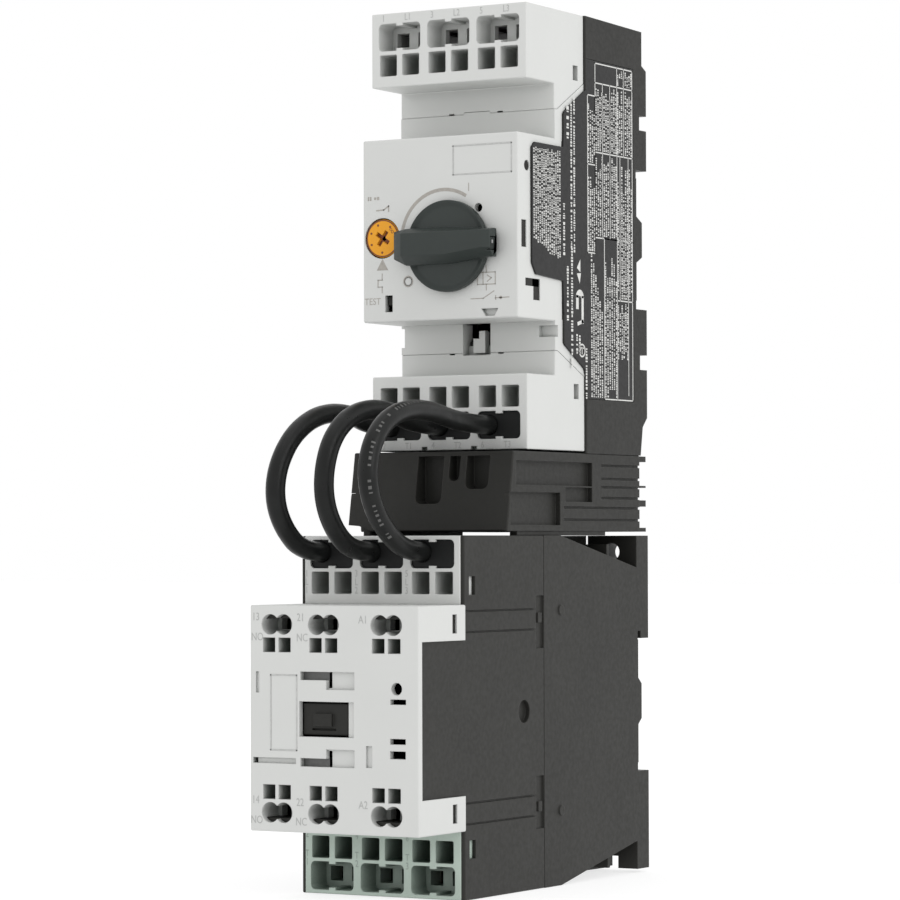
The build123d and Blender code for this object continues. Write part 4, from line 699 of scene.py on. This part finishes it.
class STARTER_OT_finishes(bpy.types.Operator):
    """Make the materials and give every moulded and metal part its own"""

    bl_idname = "starter.finishes"
    bl_label = "Finish the parts"

    def execute(self, context):
        make_materials()
        for finish, names in NODE_FINISH.items():
            for name in names:
                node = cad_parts[name]
                node.data.materials.clear()
                node.data.materials.append(MADE[finish])
        finished = [name for names in NODE_FINISH.values() for name in names]
        missed = [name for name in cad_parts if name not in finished]
        if missed:
            raise RuntimeError("no finish for " + ", ".join(missed))
        return {"FINISHED"}


# ---- wires ----

WIRE_OFFSET = -3.05         # the wires enter left of each pole's middle
# control points of each wire, as depth and height in millimetres
WIRE_ROUTES = {
    "left": [
        (53.6, -48.6), (65.0, -48.6), (76.0, -45.6), (89.0, -46.3), (100.0, -51.2),
        (106.8, -58.8), (108.4, -66.6), (104.6, -73.6), (96.0, -79.4), (85.4, -79.4),
    ],
    "middle": [
        (53.6, -48.6), (67.0, -48.6), (82.0, -44.9), (95.2, -46.2), (104.6, -51.8),
        (108.8, -60.2), (108.4, -68.4), (103.0, -75.4), (95.0, -79.4), (85.4, -79.4),
    ],
    "right": [
        (53.6, -48.6), (69.0, -48.6), (86.0, -45.3), (100.0, -46.7), (109.0, -52.3),
        (112.5, -60.6), (109.8, -69.0), (103.0, -75.2), (94.0, -79.4), (85.4, -79.4),
    ],
}
MARKS_FROM, MARKS_TO = 0.030, 0.082     # stretch of the right wire that carries marks, in metres
MARK_LENGTHS = (0.0003, 0.0008)
MARK_GAPS = (0.0005, 0.0006, 0.0006, 0.0024)
MARK_TURN = math.radians(52)            # round the wire, from its right side
MARK_HALF_ANGLES = (0.13, 0.22)


def wire_curve(name, points):
    """One open smooth curve with the route's points as its control points."""
    curve = bpy.data.curves.new(name, "CURVE")
    curve.dimensions = "3D"
    spline = curve.splines.new("NURBS")
    spline.points.add(len(points) - 1)
    for knot, point in zip(spline.points, points):
        knot.co = (*point, 1.0)
    spline.order_u = 3
    spline.use_endpoint_u = True
    curve.resolution_u = 24
    obj = bpy.data.objects.new(name, curve)
    bpy.context.collection.objects.link(obj)
    return obj


def centre_line(obj):
    """Points along a curve that has no thickness yet."""
    mesh = bpy.data.meshes.new_from_object(obj)
    points = [vert.co.copy() for vert in mesh.vertices]
    bpy.data.meshes.remove(mesh)
    return points


def wire_marks(name, line, radius, source):
    """Tiny pale marks along a wire, bent to its round side."""
    mesh = bmesh.new()
    side = Vector((1, 0, 0))
    lift = radius + sizes().rise
    travelled = 0.0
    next_mark = MARKS_FROM
    for before, here in zip(line, line[1:]):
        travelled += (here - before).length
        if travelled < next_mark or travelled > MARKS_TO:
            continue
        along = (here - before).normalized()
        out = along.cross(side)
        reach = source.uniform(*MARK_LENGTHS)
        half = source.uniform(*MARK_HALF_ANGLES)
        turns = [MARK_TURN + half * k / 2 for k in (-2, -1, 0, 1, 2)]
        rows = []
        for end in (here, here + along * reach):
            rims = [(side * math.cos(turn) + out * math.sin(turn)) * lift for turn in turns]
            rows.append([mesh.verts.new(end + rim) for rim in rims])
        for a, b, c, d in zip(rows[0], rows[0][1:], rows[1][1:], rows[1]):
            mesh.faces.new((a, b, c, d))
        next_mark = travelled + reach + source.choice(MARK_GAPS)
    bmesh.ops.recalc_face_normals(mesh, faces=mesh.faces)
    data = bpy.data.meshes.new(name)
    mesh.to_mesh(data)
    mesh.free()
    obj = bpy.data.objects.new(name, data)
    bpy.context.collection.objects.link(obj)
    only(obj)
    solid = obj.modifiers.new("ink", "SOLIDIFY")
    solid.thickness = sizes().rise * 2
    bpy.ops.object.modifier_apply(modifier=solid.name)
    return obj


class STARTER_OT_wires(bpy.types.Operator):
    """Three jumper wires from the breaker's load side to the contactor's line side"""

    bl_idname = "starter.wires"
    bl_label = "Jumper wires"

    def execute(self, context):
        diameter = sizes().wire
        source = random.Random(7)
        for pole, side in zip(POLES, SIDES):
            x = pole * POLE_PITCH + WIRE_OFFSET
            points = [at(x, depth, z) for depth, z in WIRE_ROUTES[side]]
            wire = wire_curve("jumper_" + side, points)
            line = centre_line(wire)
            wire.data.bevel_depth = diameter / 2
            wire.data.bevel_resolution = 8
            wire.data.use_fill_caps = True
            finish_piece(wire, MADE["wire"], replaces=["wire_" + side])
            ends = [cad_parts["%s_plug_%s" % (end, side)] for end in ("breaker", "contactor")]
            if side == "right":
                marks = wire_marks("wire_marks", line, diameter / 2, source)
                finish_piece(marks, MADE["wire_ink"])
                ends.append(marks)
        return {"FINISHED"}


# ---- rotary handle ----

# all in millimetres
DISC_THICKNESS = 2.0
DISC_STEPS = ((1.5, 0.75), (1.6, -0.25), (3.2, -0.45))  # inset and depth of each step of the dish
BAR_HEIGHT = 9.0
BAR_KINK = 1.5              # the bar's lower flank bends this far right of the shaft
BAR_SHOULDER = 3.4          # length of the slanted pointer end
BAR_END = 1.9               # stretch at the bar's right end with its own heel
BAR_SINK = 0.6              # the bar's foot sinks this far into the disc
POCKET_ROOM = 0.3
NEAR = 0.1                  # how close a point counts as on a face


class STARTER_OT_handle(bpy.types.Operator):
    """Rotary handle: a dished disc with a pointed grip across it"""

    bl_idname = "starter.handle"
    bl_label = "Rotary handle"

    def execute(self, context):
        low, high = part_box("rotary_handle")
        radius = (high.z - low.z) / 2
        disc_front = high.y - DISC_THICKNESS * MM
        centre = (HANDLE.x, (high.y + disc_front) / 2, HANDLE.z)
        disc = drum("handle_disc", centre, radius, high.y - disc_front, 128)
        pick(disc, "FACE", lambda p: p.y < disc_front + NEAR * MM)
        for inset, back in DISC_STEPS:
            bpy.ops.mesh.inset(thickness=inset * MM)
            bpy.ops.transform.translate(value=(0, back * MM, 0))
        bpy.ops.object.mode_set(mode="OBJECT")
        rounded(disc, 0.35 * MM, 4, 25)
        bar = self.grip(low, high, disc_front)
        handle = joined("turn_handle", [disc, bar])
        only(handle)
        bpy.ops.object.shade_smooth_by_angle(angle=math.radians(14))
        finish_piece(handle, MADE["handle"], "handle", ["rotary_handle"])
        return {"FINISHED"}

    def grip(self, low, high, disc_front):
        """The bar across the disc: wide foot, narrow front, a slanted pointer end on the left."""
        back = disc_front + BAR_SINK * MM
        centre = ((low.x + high.x) / 2, (low.y + back) / 2, HANDLE.z)
        bar = block("handle_bar", centre, (high.x - low.x, back - low.y, BAR_HEIGHT * MM))
        kink = HANDLE.x + BAR_KINK * MM
        for x in (low.x + BAR_SHOULDER * MM, kink, high.x - BAR_END * MM):
            slice_at(bar, (x, 0, 0), (1, 0, 0))
        slice_at(bar, (0, disc_front - 1.0 * MM, 0), (0, 1, 0))
        near = NEAR * MM
        front, foot = low.y + near, disc_front - 1.1 * MM
        left_end, right_end = low.x + near, high.x - (BAR_END + NEAR) * MM

        def crest(x0, x1, side):
            return lambda p: p.y < front and x0 - near < p.x < x1 + near and (p.z - HANDLE.z) * side > 0

        def heel(at_end, side):
            return lambda p: at_end(p.x) and p.y > foot and (p.z - HANDLE.z) * side > 0

        for test, offset in (
            (crest(low.x, high.x, 1), (0, 0, -1.3)),
            (crest(low.x, kink, -1), (0, 0, 2.2)),
            (crest(kink + 1 * MM, high.x, -1), (0, 0, 3.5)),
            (lambda p: p.x < left_end and p.y < front, (0.5, 1.7, 0)),
            (lambda p: p.x > high.x - near and p.y < front, (0, 1.0, 0)),
            (heel(lambda x: x < left_end, -1), (0, 0, 1.6)),
            (heel(lambda x: x < left_end, 1), (0, 0, -0.6)),
            (heel(lambda x: x > right_end, -1), (0, 0, 1.3)),
            (heel(lambda x: x > right_end, 1), (0, 0, -0.8)),
        ):
            move_part(bar, test, offset)
        lock_low, lock_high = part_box("handle_lock_slide")
        room = POCKET_ROOM * MM
        pocket = block(
            "pocket",
            (lock_low + lock_high) / 2 + Vector((1 * MM, 0, 0)),
            lock_high - lock_low + Vector((2 * MM + room, room, room)),
        )
        cut_away(bar, pocket)
        return rounded(bar, 0.28 * MM, 3, 12)


class STARTER_OT_lock(bpy.types.Operator):
    """Lock slide in the handle's right end, with its steel pin"""

    bl_idname = "starter.lock"
    bl_label = "Lock slide"

    def execute(self, context):
        low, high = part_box("handle_lock_slide")
        centre = middle("handle_lock_slide")
        slide = block("lock_body", centre, high - low)
        rounded(slide, 0.22 * MM, 3, 20)
        finish_piece(slide, MADE["lock"], "lock", ["handle_lock_slide"])
        pin_place = (high.x, centre.y - 0.5 * MM, centre.z + 0.4 * MM)
        pin = block("lock_pin", pin_place, (0.3 * MM, 0.6 * MM, 0.9 * MM))
        rounded(pin, 0.08 * MM, 2)
        finish_piece(pin, MADE["steel"], "lock")
        return {"FINISHED"}


# ---- dial and collar marks ----

RIM_RADIUS = 4.45
DOT_CIRCLE, DOT_TURNS = 3.5, (112, 158, 205, 268, 52)
RING_CIRCLE, RING_TURNS = 3.2, (28, 42)
STAR_DEPTH = 0.9
STAR_REACH, STAR_TURNS = 2.05, (-35, 55)


def around(u, v, radius, turn):
    """A point on a circle, at an angle in degrees."""
    angle = math.radians(turn)
    return u + radius * math.cos(angle), v + radius * math.sin(angle)


class STARTER_OT_dial_marks(bpy.types.Operator):
    """Rim line and setting marks on the orange dial, and painted shade on the floor of its cross slot"""

    bl_idname = "starter.dial_marks"
    bl_label = "Dial marks"

    def execute(self, context):
        u, v = DIAL.x / MM, DIAL.z / MM
        marks = front_print(face("current_dial"))
        marks.arc(u, v, RIM_RADIUS, 0, 360, 0.3)
        for turn in DOT_TURNS:
            marks.disc(*around(u, v, DOT_CIRCLE, turn), 0.3, 10)
        for turn in RING_TURNS:
            marks.arc(*around(u, v, RING_CIRCLE, turn), 0.3, 0, 360, 0.12)
        marks.piece("dial_marks", MADE["brown"], "dial", "orange_plastic")
        # painted shade: brown bars on the cross slot's floor stand for the shade in the slot
        floor = front_print(face("current_dial") + STAR_DEPTH * MM)
        for turn in STAR_TURNS:
            floor.line([around(u, v, -STAR_REACH, turn), around(u, v, STAR_REACH, turn)], 1.0)
        floor.piece("dial_slot_shade", MADE["brown"], "dial", "orange_plastic")
        return {"FINISHED"}


SIDE_SINK = 0.3 * MM
# near end, bottom, far end and top of each slot, from the collar's face and the shaft's top
SIDE_SLOTS = ((1.6, -3.65, 4.0, 2.85), (3.5, -13.0, 10.7, -11.1), (7.4, -16.3, 10.7, -11.1))


class STARTER_OT_collar_print(bpy.types.Operator):
    """Switching arc, on and off marks, setting arrow and circuit symbols on the breaker's collar"""

    bl_idname = "starter.collar_print"
    bl_label = "Breaker front marks"

    def execute(self, context):
        ink = front_print(COLLAR_FACE)
        cx, cz = HANDLE.x / MM, HANDLE.z / MM
        dx, dz = DIAL.x / MM, DIAL.z / MM
        ink.arc(cx - 1.87, cz + 2.0, 12.0, 170, 58, 0.85)
        ink.bar(cx + 5.1, cz + 13.3, cx + 5.32, cz + 15.3)
        ink.arc(cx - 12.0, cz - 8.1, 1.25, 0, 360, 0.28)
        ink.shape([(dx - 1.65, dz - 7.9), (dx + 1.65, dz - 7.9), (dx, dz - 5.1)])
        ink.line([
            (dx - 0.1, dz - 8.8), (dx - 0.1, dz - 10.3), (dx - 1.3, dz - 10.3),
            (dx - 1.3, dz - 12.0), (dx - 0.1, dz - 12.0), (dx - 0.1, dz - 13.4),
        ])
        ink.scribble(dx - 4.2, dx - 0.9, dz + 9.9, 1.0, random.Random(3))
        bent = [(dx - 1.6, dz + 6.9), (dx + 0.4, dz + 7.0), (dx + 1.8, dz + 7.9), (dx + 1.8, dz + 6.6)]
        ink.line(bent, 0.34)
        ink.text("TEST", dx - 2.85, dz - 15.6, 0.0017, 0.92)
        ink.frame(cx + 7.6, cz - 9.6, cx + 12.6, cz - 6.7)
        ink.line([(cx + 9.2, cz - 9.6), (cx + 9.2, cz - 6.7)])
        ink.line([(cx + 10.4, cz - 7.4), (cx + 11.5, cz - 8.1), (cx + 10.4, cz - 8.9)])
        ink.line([(cx + 10.1, cz - 6.7), (cx + 10.1, cz - 5.2)])
        ink.line([(cx + 10.1, cz - 9.6), (cx + 10.1, cz - 11.0)])
        ink.line([(cx + 5.8, cz - 13.0), (cx + 9.2, cz - 13.0), (cx + 12.2, cz - 11.3)])
        ink.line([(cx + 12.6, cz - 13.0), (cx + 16.4, cz - 12.9)])
        ink.disc(cx + 14.1, cz - 12.95, 0.42)
        ink.line([(cx + 12.7, cz - 13.4), (cx + 12.7, cz - 12.5)])
        ink.piece("collar_print", MADE["taupe"])
        self.side_hole_shade()
        marker_line("breaker_marker", COLLAR_FACE, "collar_marker_line")
        return {"FINISHED"}

    def side_hole_shade(self):
        """Dark sheets just inside the openings on the collar's right side, as painted shade."""
        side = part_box("breaker_front_cover")[1].x
        front = -COLLAR_FACE / MM
        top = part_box("handle_shaft")[1].z / MM
        # painted shade: dark discs and bars sunk just inside the side openings stand for the shade in them
        dark = side_print(side - SIDE_SINK)
        dark.disc(4.3 - front, top + 16.2, 1.25, 28)
        for near, low, far, high in SIDE_SLOTS:
            dark.bar(near - front, top + low, far - front, top + high)
        dark.piece("collar_side_hole_shade", MADE["inner"], slot=None)


# ---- terminal marks ----

LOAD_LETTER_HEIGHTS = (14.0, 9.4, 7.4)  # above the lower block's bottom


class STARTER_OT_terminal_print(bpy.types.Operator):
    """Terminal numbers on both devices' blocks"""

    bl_idname = "starter.terminal_print"
    bl_label = "Terminal marks"

    def execute(self, context):
        top = box_mm("breaker_upper_terminals")[3]
        bottom = box_mm("breaker_lower_terminals")[1]
        self.pair_row("breaker_line_marks", (("1", "L1"), ("3", "L2"), ("5", "L3")), top - 1.3, 0.0017)
        self.pair_row("breaker_load_marks", (("2", "T1"), ("4", "T2"), ("6", "T3")), bottom + 1.2, 0.0016)
        top = box_mm("contactor_upper_terminals")[3]
        line = self.stacks(CONTACTOR_FACE, ("1L1", "3L2", "5L3"), [top - 9.0 - 2.0 * i for i in range(3)])
        line.piece("contactor_line_marks", MADE["pale"])
        bottom = box_mm("contactor_lower_terminals")[1]
        heights = [bottom + height for height in LOAD_LETTER_HEIGHTS]
        load = self.stacks(face("contactor_lower_terminals"), ("2T1", "4T2", "6T3"), heights)
        load.piece("contactor_load_marks", MADE["moss"], slot="green_grey_plastic")
        return {"FINISHED"}

    def pair_row(self, name, pairs, z, height):
        """A terminal's number and its name side by side, for each pole of the breaker."""
        row = front_print(TERMINAL_FACE)
        for pole, (number, terminal) in zip(POLES, pairs):
            x = pole * POLE_PITCH
            row.text(number, x - 4.6, z, height)
            row.text(terminal, x + 2.4, z, height)
        row.piece(name, MADE["pale"])

    def stacks(self, y, names, heights):
        """A terminal's name with its letters under one another, left of each pole."""
        column = front_print(y)
        for pole, name in zip(POLES, names):
            x = pole * POLE_PITCH - POLE_PITCH / 2 - 0.05
            for letter, z in zip(name, heights):
                column.text(letter, x, z, 0.0017, 0.75)
        return column


LATCH_DEPTH = 1.8 * MM
LATCH_Z = 10.1              # middle of a latch gap, above or below the cover's middle
LATCH_START, LATCH_END = -9.3, -2.1
LATCH_HALF = 1.0
COVER_MARKS = (
    ("13", -21.5, 23.7), ("NO", -21.1, 19.0), ("21", -9.0, 23.6), ("NC", -8.6, 18.9),
    ("A1", 8.1, 23.2), ("14", -21.6, -19.2), ("NO", -21.3, -23.9), ("22", -9.2, -19.5),
    ("NC", -8.9, -24.0), ("A2", 8.1, -19.6),
)


class STARTER_OT_cover_print(bpy.types.Operator):
    """Contact numbers, the marker outline and the latch gaps' floors, dark with painted shade, on the
    contactor's cover
    """

    bl_idname = "starter.cover_print"
    bl_label = "Contactor front marks"

    def execute(self, context):
        ink = front_print(COVER_FACE)
        z = COVER.z / MM
        for words, u, v in COVER_MARKS:
            ink.text(words, u, z + v)
        ink.piece("cover_print", MADE["pale"])
        marker_line("contactor_marker", COVER_FACE, "cover_marker_line")
        # painted shade: dark sheets behind the latch gaps stand for the shade inside them
        floors = front_print(COVER_FACE + LATCH_DEPTH)
        for sign in (-1, 1):
            gap = z + sign * LATCH_Z
            floors.bar(LATCH_START, gap - LATCH_HALF, LATCH_END, gap + LATCH_HALF)
        floors.piece("cover_latch_shade_floors", MADE["shadow"])
        return {"FINISHED"}


# ---- side plate print ----

TABLE_REAR, TABLE_FRONT = -2.3, -26.1
TABLE_TOP, TABLE_BOTTOM = 42.7, -41.3
TABLE_WAIST = -1.0
TABLE_HEAD, TABLE_MIDDLE, TABLE_SKIRT = 37.8, 20.4, -16.2
FRONT_COLUMN = 4.0          # width of the narrow column along the table's front
FRONT_TOP, FRONT_MIDDLE = 34.4, 17.1
REAR_BLOCK = 8.2            # width of the block along the table's rear
FOOT_STEP = 8.7             # the table's lower half starts this far behind its front
RULE = 0.3
ROW_PITCH = 1.0
PRINT_HEIGHT = 0.7
ARM_ROWS = 14
LOOSE_ROWS = ((-38.4, -6.5, 6.5), (-36.6, -22.5, -8.5), (-34.4, -34.0, -4.5), (-27.0, -41.5, -28.0))


class STARTER_OT_plate_print(bpy.types.Operator):
    """White table, arrows and fine print on the breaker's side plate"""

    bl_idname = "starter.plate_print"
    bl_label = "Side plate print"

    def execute(self, context):
        ink = side_print(PLATE_SIDE)
        source = random.Random(21)
        self.rules(ink)
        self.cells(ink, source)
        self.front_block(ink, source)
        self.symbols(ink)
        ink.piece("plate_print", MADE["white"], slot="printed_plate")
        return {"FINISHED"}

    def rules(self, ink):
        """Outline with a stepped left border, and the rules between its cells."""
        rear, front = TABLE_REAR, TABLE_FRONT
        column, block, foot = front + FRONT_COLUMN, rear - REAR_BLOCK, front + FOOT_STEP
        ledge = TABLE_WAIST - FRONT_COLUMN
        border = [(column, TABLE_TOP), (rear, TABLE_TOP), (rear, TABLE_BOTTOM), (foot, TABLE_BOTTOM)]
        ink.line(border, RULE)
        ink.line([(foot, TABLE_BOTTOM), (foot, TABLE_WAIST), (block, TABLE_WAIST)], RULE)
        ink.line([(column, TABLE_TOP), (column, ledge)], RULE)
        ink.frame(front, ledge, column, FRONT_TOP, RULE)
        for v, start, stop in (
            (TABLE_HEAD, column, rear), (TABLE_MIDDLE, column, rear), (FRONT_MIDDLE, front, column),
            (TABLE_WAIST, column, rear), (TABLE_SKIRT, block, rear),
        ):
            ink.line([(start, v), (stop, v)], RULE)
        for u, low, high in (
            (block, TABLE_BOTTOM, TABLE_TOP), (rear - 12.0, TABLE_WAIST, TABLE_HEAD),
            (rear - 15.9, TABLE_WAIST, TABLE_HEAD), (rear - 4.6, TABLE_MIDDLE, TABLE_TOP),
            (rear - 2.2, -40.0, TABLE_MIDDLE), (rear - 6.6, TABLE_SKIRT, TABLE_MIDDLE),
        ):
            ink.line([(u, low), (u, high)], RULE * 0.8)

    def cells(self, ink, source):
        """Rows of fine print that run upwards in the table's cells."""
        rear, front = TABLE_REAR, TABLE_FRONT
        column, block = front + FRONT_COLUMN, rear - REAR_BLOCK
        ledge = TABLE_WAIST - FRONT_COLUMN
        for u0, u1, low, high in (
            (front, column, FRONT_MIDDLE, FRONT_TOP), (front, column, ledge, FRONT_MIDDLE),
            (column, block, TABLE_MIDDLE, TABLE_HEAD), (column, block, TABLE_WAIST, TABLE_MIDDLE),
            (block, rear, TABLE_MIDDLE, TABLE_HEAD), (block, rear, TABLE_SKIRT, TABLE_MIDDLE),
            (block, rear, TABLE_HEAD, TABLE_TOP), (front + FOOT_STEP, block, TABLE_BOTTOM, TABLE_WAIST),
            (block, rear - 2.2, -31.5, TABLE_SKIRT),
        ):
            rows = int((u1 - u0) / ROW_PITCH)
            for i in range(rows):
                start = low + 0.5 + source.choice((0.0, 0.0, 0.4, 2.0))
                stop = high - source.uniform(0.3, 0.28 * (high - low))
                ink.column(u0 + (i + 0.5) * (u1 - u0) / rows, start, stop, PRINT_HEIGHT, source)

    def front_block(self, ink, source):
        """Dense fine print on the plate's front arm and the lines between it and the table."""
        for i in range(ARM_ROWS):
            start = -4.6 + source.uniform(0, 1.5) - 0.3 * i
            ink.column(-53.5 + ROW_PITCH * i, start, 19.0, PRINT_HEIGHT, source)
        ink.column(-36.4, 22.5, 31.0, 1.2, source)
        for i in range(2):
            ink.column(-34.6 + 1.5 * i, -4.5 - i, 31.5 + 2.0 * i, 0.9, source)
        for u, low, high in LOOSE_ROWS:
            ink.column(u, low, high, 1.0, source)
        for i in range(6):
            ink.column(-24.2 + 1.1 * i, -41.0, -4.5 - 3.0 * i, PRINT_HEIGHT, source)
        for i in range(2):
            ink.column(-31.9 + 1.4 * i, -30.5, -25.5, 0.9, source)

    def symbols(self, ink):
        """Two opposed arrowheads, a hook and a small ring."""
        ink.shape([(-31.9, -9.2), (-30.1, -10.2), (-30.1, -7.0)])
        ink.shape([(-31.9, -10.6), (-30.4, -13.0), (-29.8, -10.4)])
        ink.arc(-30.4, -16.6, 1.3, 0, 180, 1.5)
        ink.line([(-29.0, -16.6), (-29.0, -22.4)], 1.1)
        ink.line([(-31.7, -16.6), (-31.7, -18.8)], 1.3)
        ink.line([(-29.0, -22.4), (-31.2, -23.0)], 0.9)
        ink.arc(-29.3, -29.6, 1.5, 0, 360, 0.4)
        ink.line([(-30.0, -29.0), (-28.6, -29.0)], 0.3)
        ink.line([(-29.3, -28.9), (-29.3, -30.4)], 0.3)


# ---- stage ----

CAMERA_PLACE = (0.46534, -0.84624, -0.07756)
CAMERA_YAW, CAMERA_TILT, CAMERA_ROLL = 30.49, 1.44, 0.15
CAMERA_LENS, CAMERA_SENSOR = 149.85, 36.0
CLIP = (0.05, 30.0)
FLOOR_SIZE = 12.0
FLOOR_DROP = 0.0001         # the floor lies this far under the starter
FLOOR_GLOW = 0.74           # emission that takes the floor's shadow nearly away
LIGHT_TARGET = (0.0, -0.05, -0.05)
SOFT_BOXES = (
    ("key", (1.6, -0.3, 0.7), (1.1, 1.4), 8.0),
    ("fill", (-0.9, -1.5, 0.4), (1.2, 1.2), 0.6),
    ("top", (0.1, -0.2, 1.6), (1.2, 1.2), 2.0),
)
WHITE = (1.0, 1.0, 1.0, 1.0)


def soft_box(name, place, size, power):
    """A rectangular area light aimed at the starter."""
    data = bpy.data.lights.new(name, "AREA")
    data.shape = "RECTANGLE"
    data.size, data.size_y = size
    data.energy = power
    light = bpy.data.objects.new(name, data)
    bpy.context.collection.objects.link(light)
    light.location = place
    light.rotation_mode = "QUATERNION"
    light.rotation_quaternion = (Vector(LIGHT_TARGET) - Vector(place)).to_track_quat("-Z", "Y")


class STARTER_OT_stage(bpy.types.Operator):
    """Pale floor, soft studio light and the camera"""

    bl_idname = "starter.stage"
    bl_label = "Stage"

    def execute(self, context):
        deselect()
        bpy.ops.mesh.primitive_plane_add(size=FLOOR_SIZE, location=(0, 0, FLOOR_Z - FLOOR_DROP))
        floor = bpy.context.object
        floor.name = "floor"
        recipe = Recipe("floor_paper", 0.9, specular=0.1)
        mottle = recipe.spread(recipe.noise(3.0), 0.0, 1.0)
        recipe.colour(recipe.blend(mottle, shade(colours().floor, 0.99), shade(colours().floor, 1.01)))
        recipe.shader.inputs["Emission Color"].default_value = WHITE
        recipe.shader.inputs["Emission Strength"].default_value = FLOOR_GLOW
        floor.data.materials.append(recipe.material)
        world = bpy.data.worlds.new("studio")
        bpy.context.scene.world = world
        world.use_nodes = True
        background = world.node_tree.nodes["Background"]
        background.inputs["Color"].default_value = WHITE
        background.inputs["Strength"].default_value = 1.0
        for box in SOFT_BOXES:
            soft_box(*box)
        camera = bpy.data.objects.new("camera", bpy.data.cameras.new("camera"))
        bpy.context.collection.objects.link(camera)
        camera.location = CAMERA_PLACE
        turns = (90 + CAMERA_TILT, CAMERA_ROLL, CAMERA_YAW)
        camera.rotation_euler = [math.radians(turn) for turn in turns]
        camera.data.lens = CAMERA_LENS
        camera.data.sensor_width = CAMERA_SENSOR
        camera.data.clip_start, camera.data.clip_end = CLIP
        bpy.context.scene.camera = camera
        bpy.context.scene.view_settings.view_transform = "Standard"
        return {"FINISHED"}


# ---- panel and registration ----

STEPS = (
    STARTER_OT_finishes,
    STARTER_OT_wires,
    STARTER_OT_handle,
    STARTER_OT_lock,
    STARTER_OT_dial_marks,
    STARTER_OT_collar_print,
    STARTER_OT_terminal_print,
    STARTER_OT_cover_print,
    STARTER_OT_plate_print,
    STARTER_OT_stage,
)


class STARTER_PT_panel(bpy.types.Panel):
    """The starter's steps and values"""

    bl_idname = "STARTER_PT_panel"
    bl_label = "Motor Starter"
    bl_space_type = "VIEW_3D"
    bl_region_type = "UI"
    bl_category = "Starter"

    def draw(self, context):
        layout = self.layout
        for step in STEPS:
            layout.operator(step.bl_idname)
        for group in (context.scene.starter_sizes, context.scene.starter_colours):
            box = layout.box()
            for name in group.bl_rna.properties.keys():
                if name not in ("rna_type", "name"):
                    box.prop(group, name)


CLASSES = (StarterColours, StarterSizes, *STEPS, STARTER_PT_panel)


def register():
    for cls in CLASSES:
        bpy.utils.register_class(cls)
    bpy.types.Scene.starter_colours = bpy.props.PointerProperty(type=StarterColours)
    bpy.types.Scene.starter_sizes = bpy.props.PointerProperty(type=StarterSizes)


def unregister():
    del bpy.types.Scene.starter_sizes
    del bpy.types.Scene.starter_colours
    for cls in reversed(CLASSES):
        bpy.utils.unregister_class(cls)


def main():
    register()
    for step in STEPS:
        group, name = step.bl_idname.split(".")
        getattr(getattr(bpy.ops, group), name)()


if __name__ == "__main__":
    main()
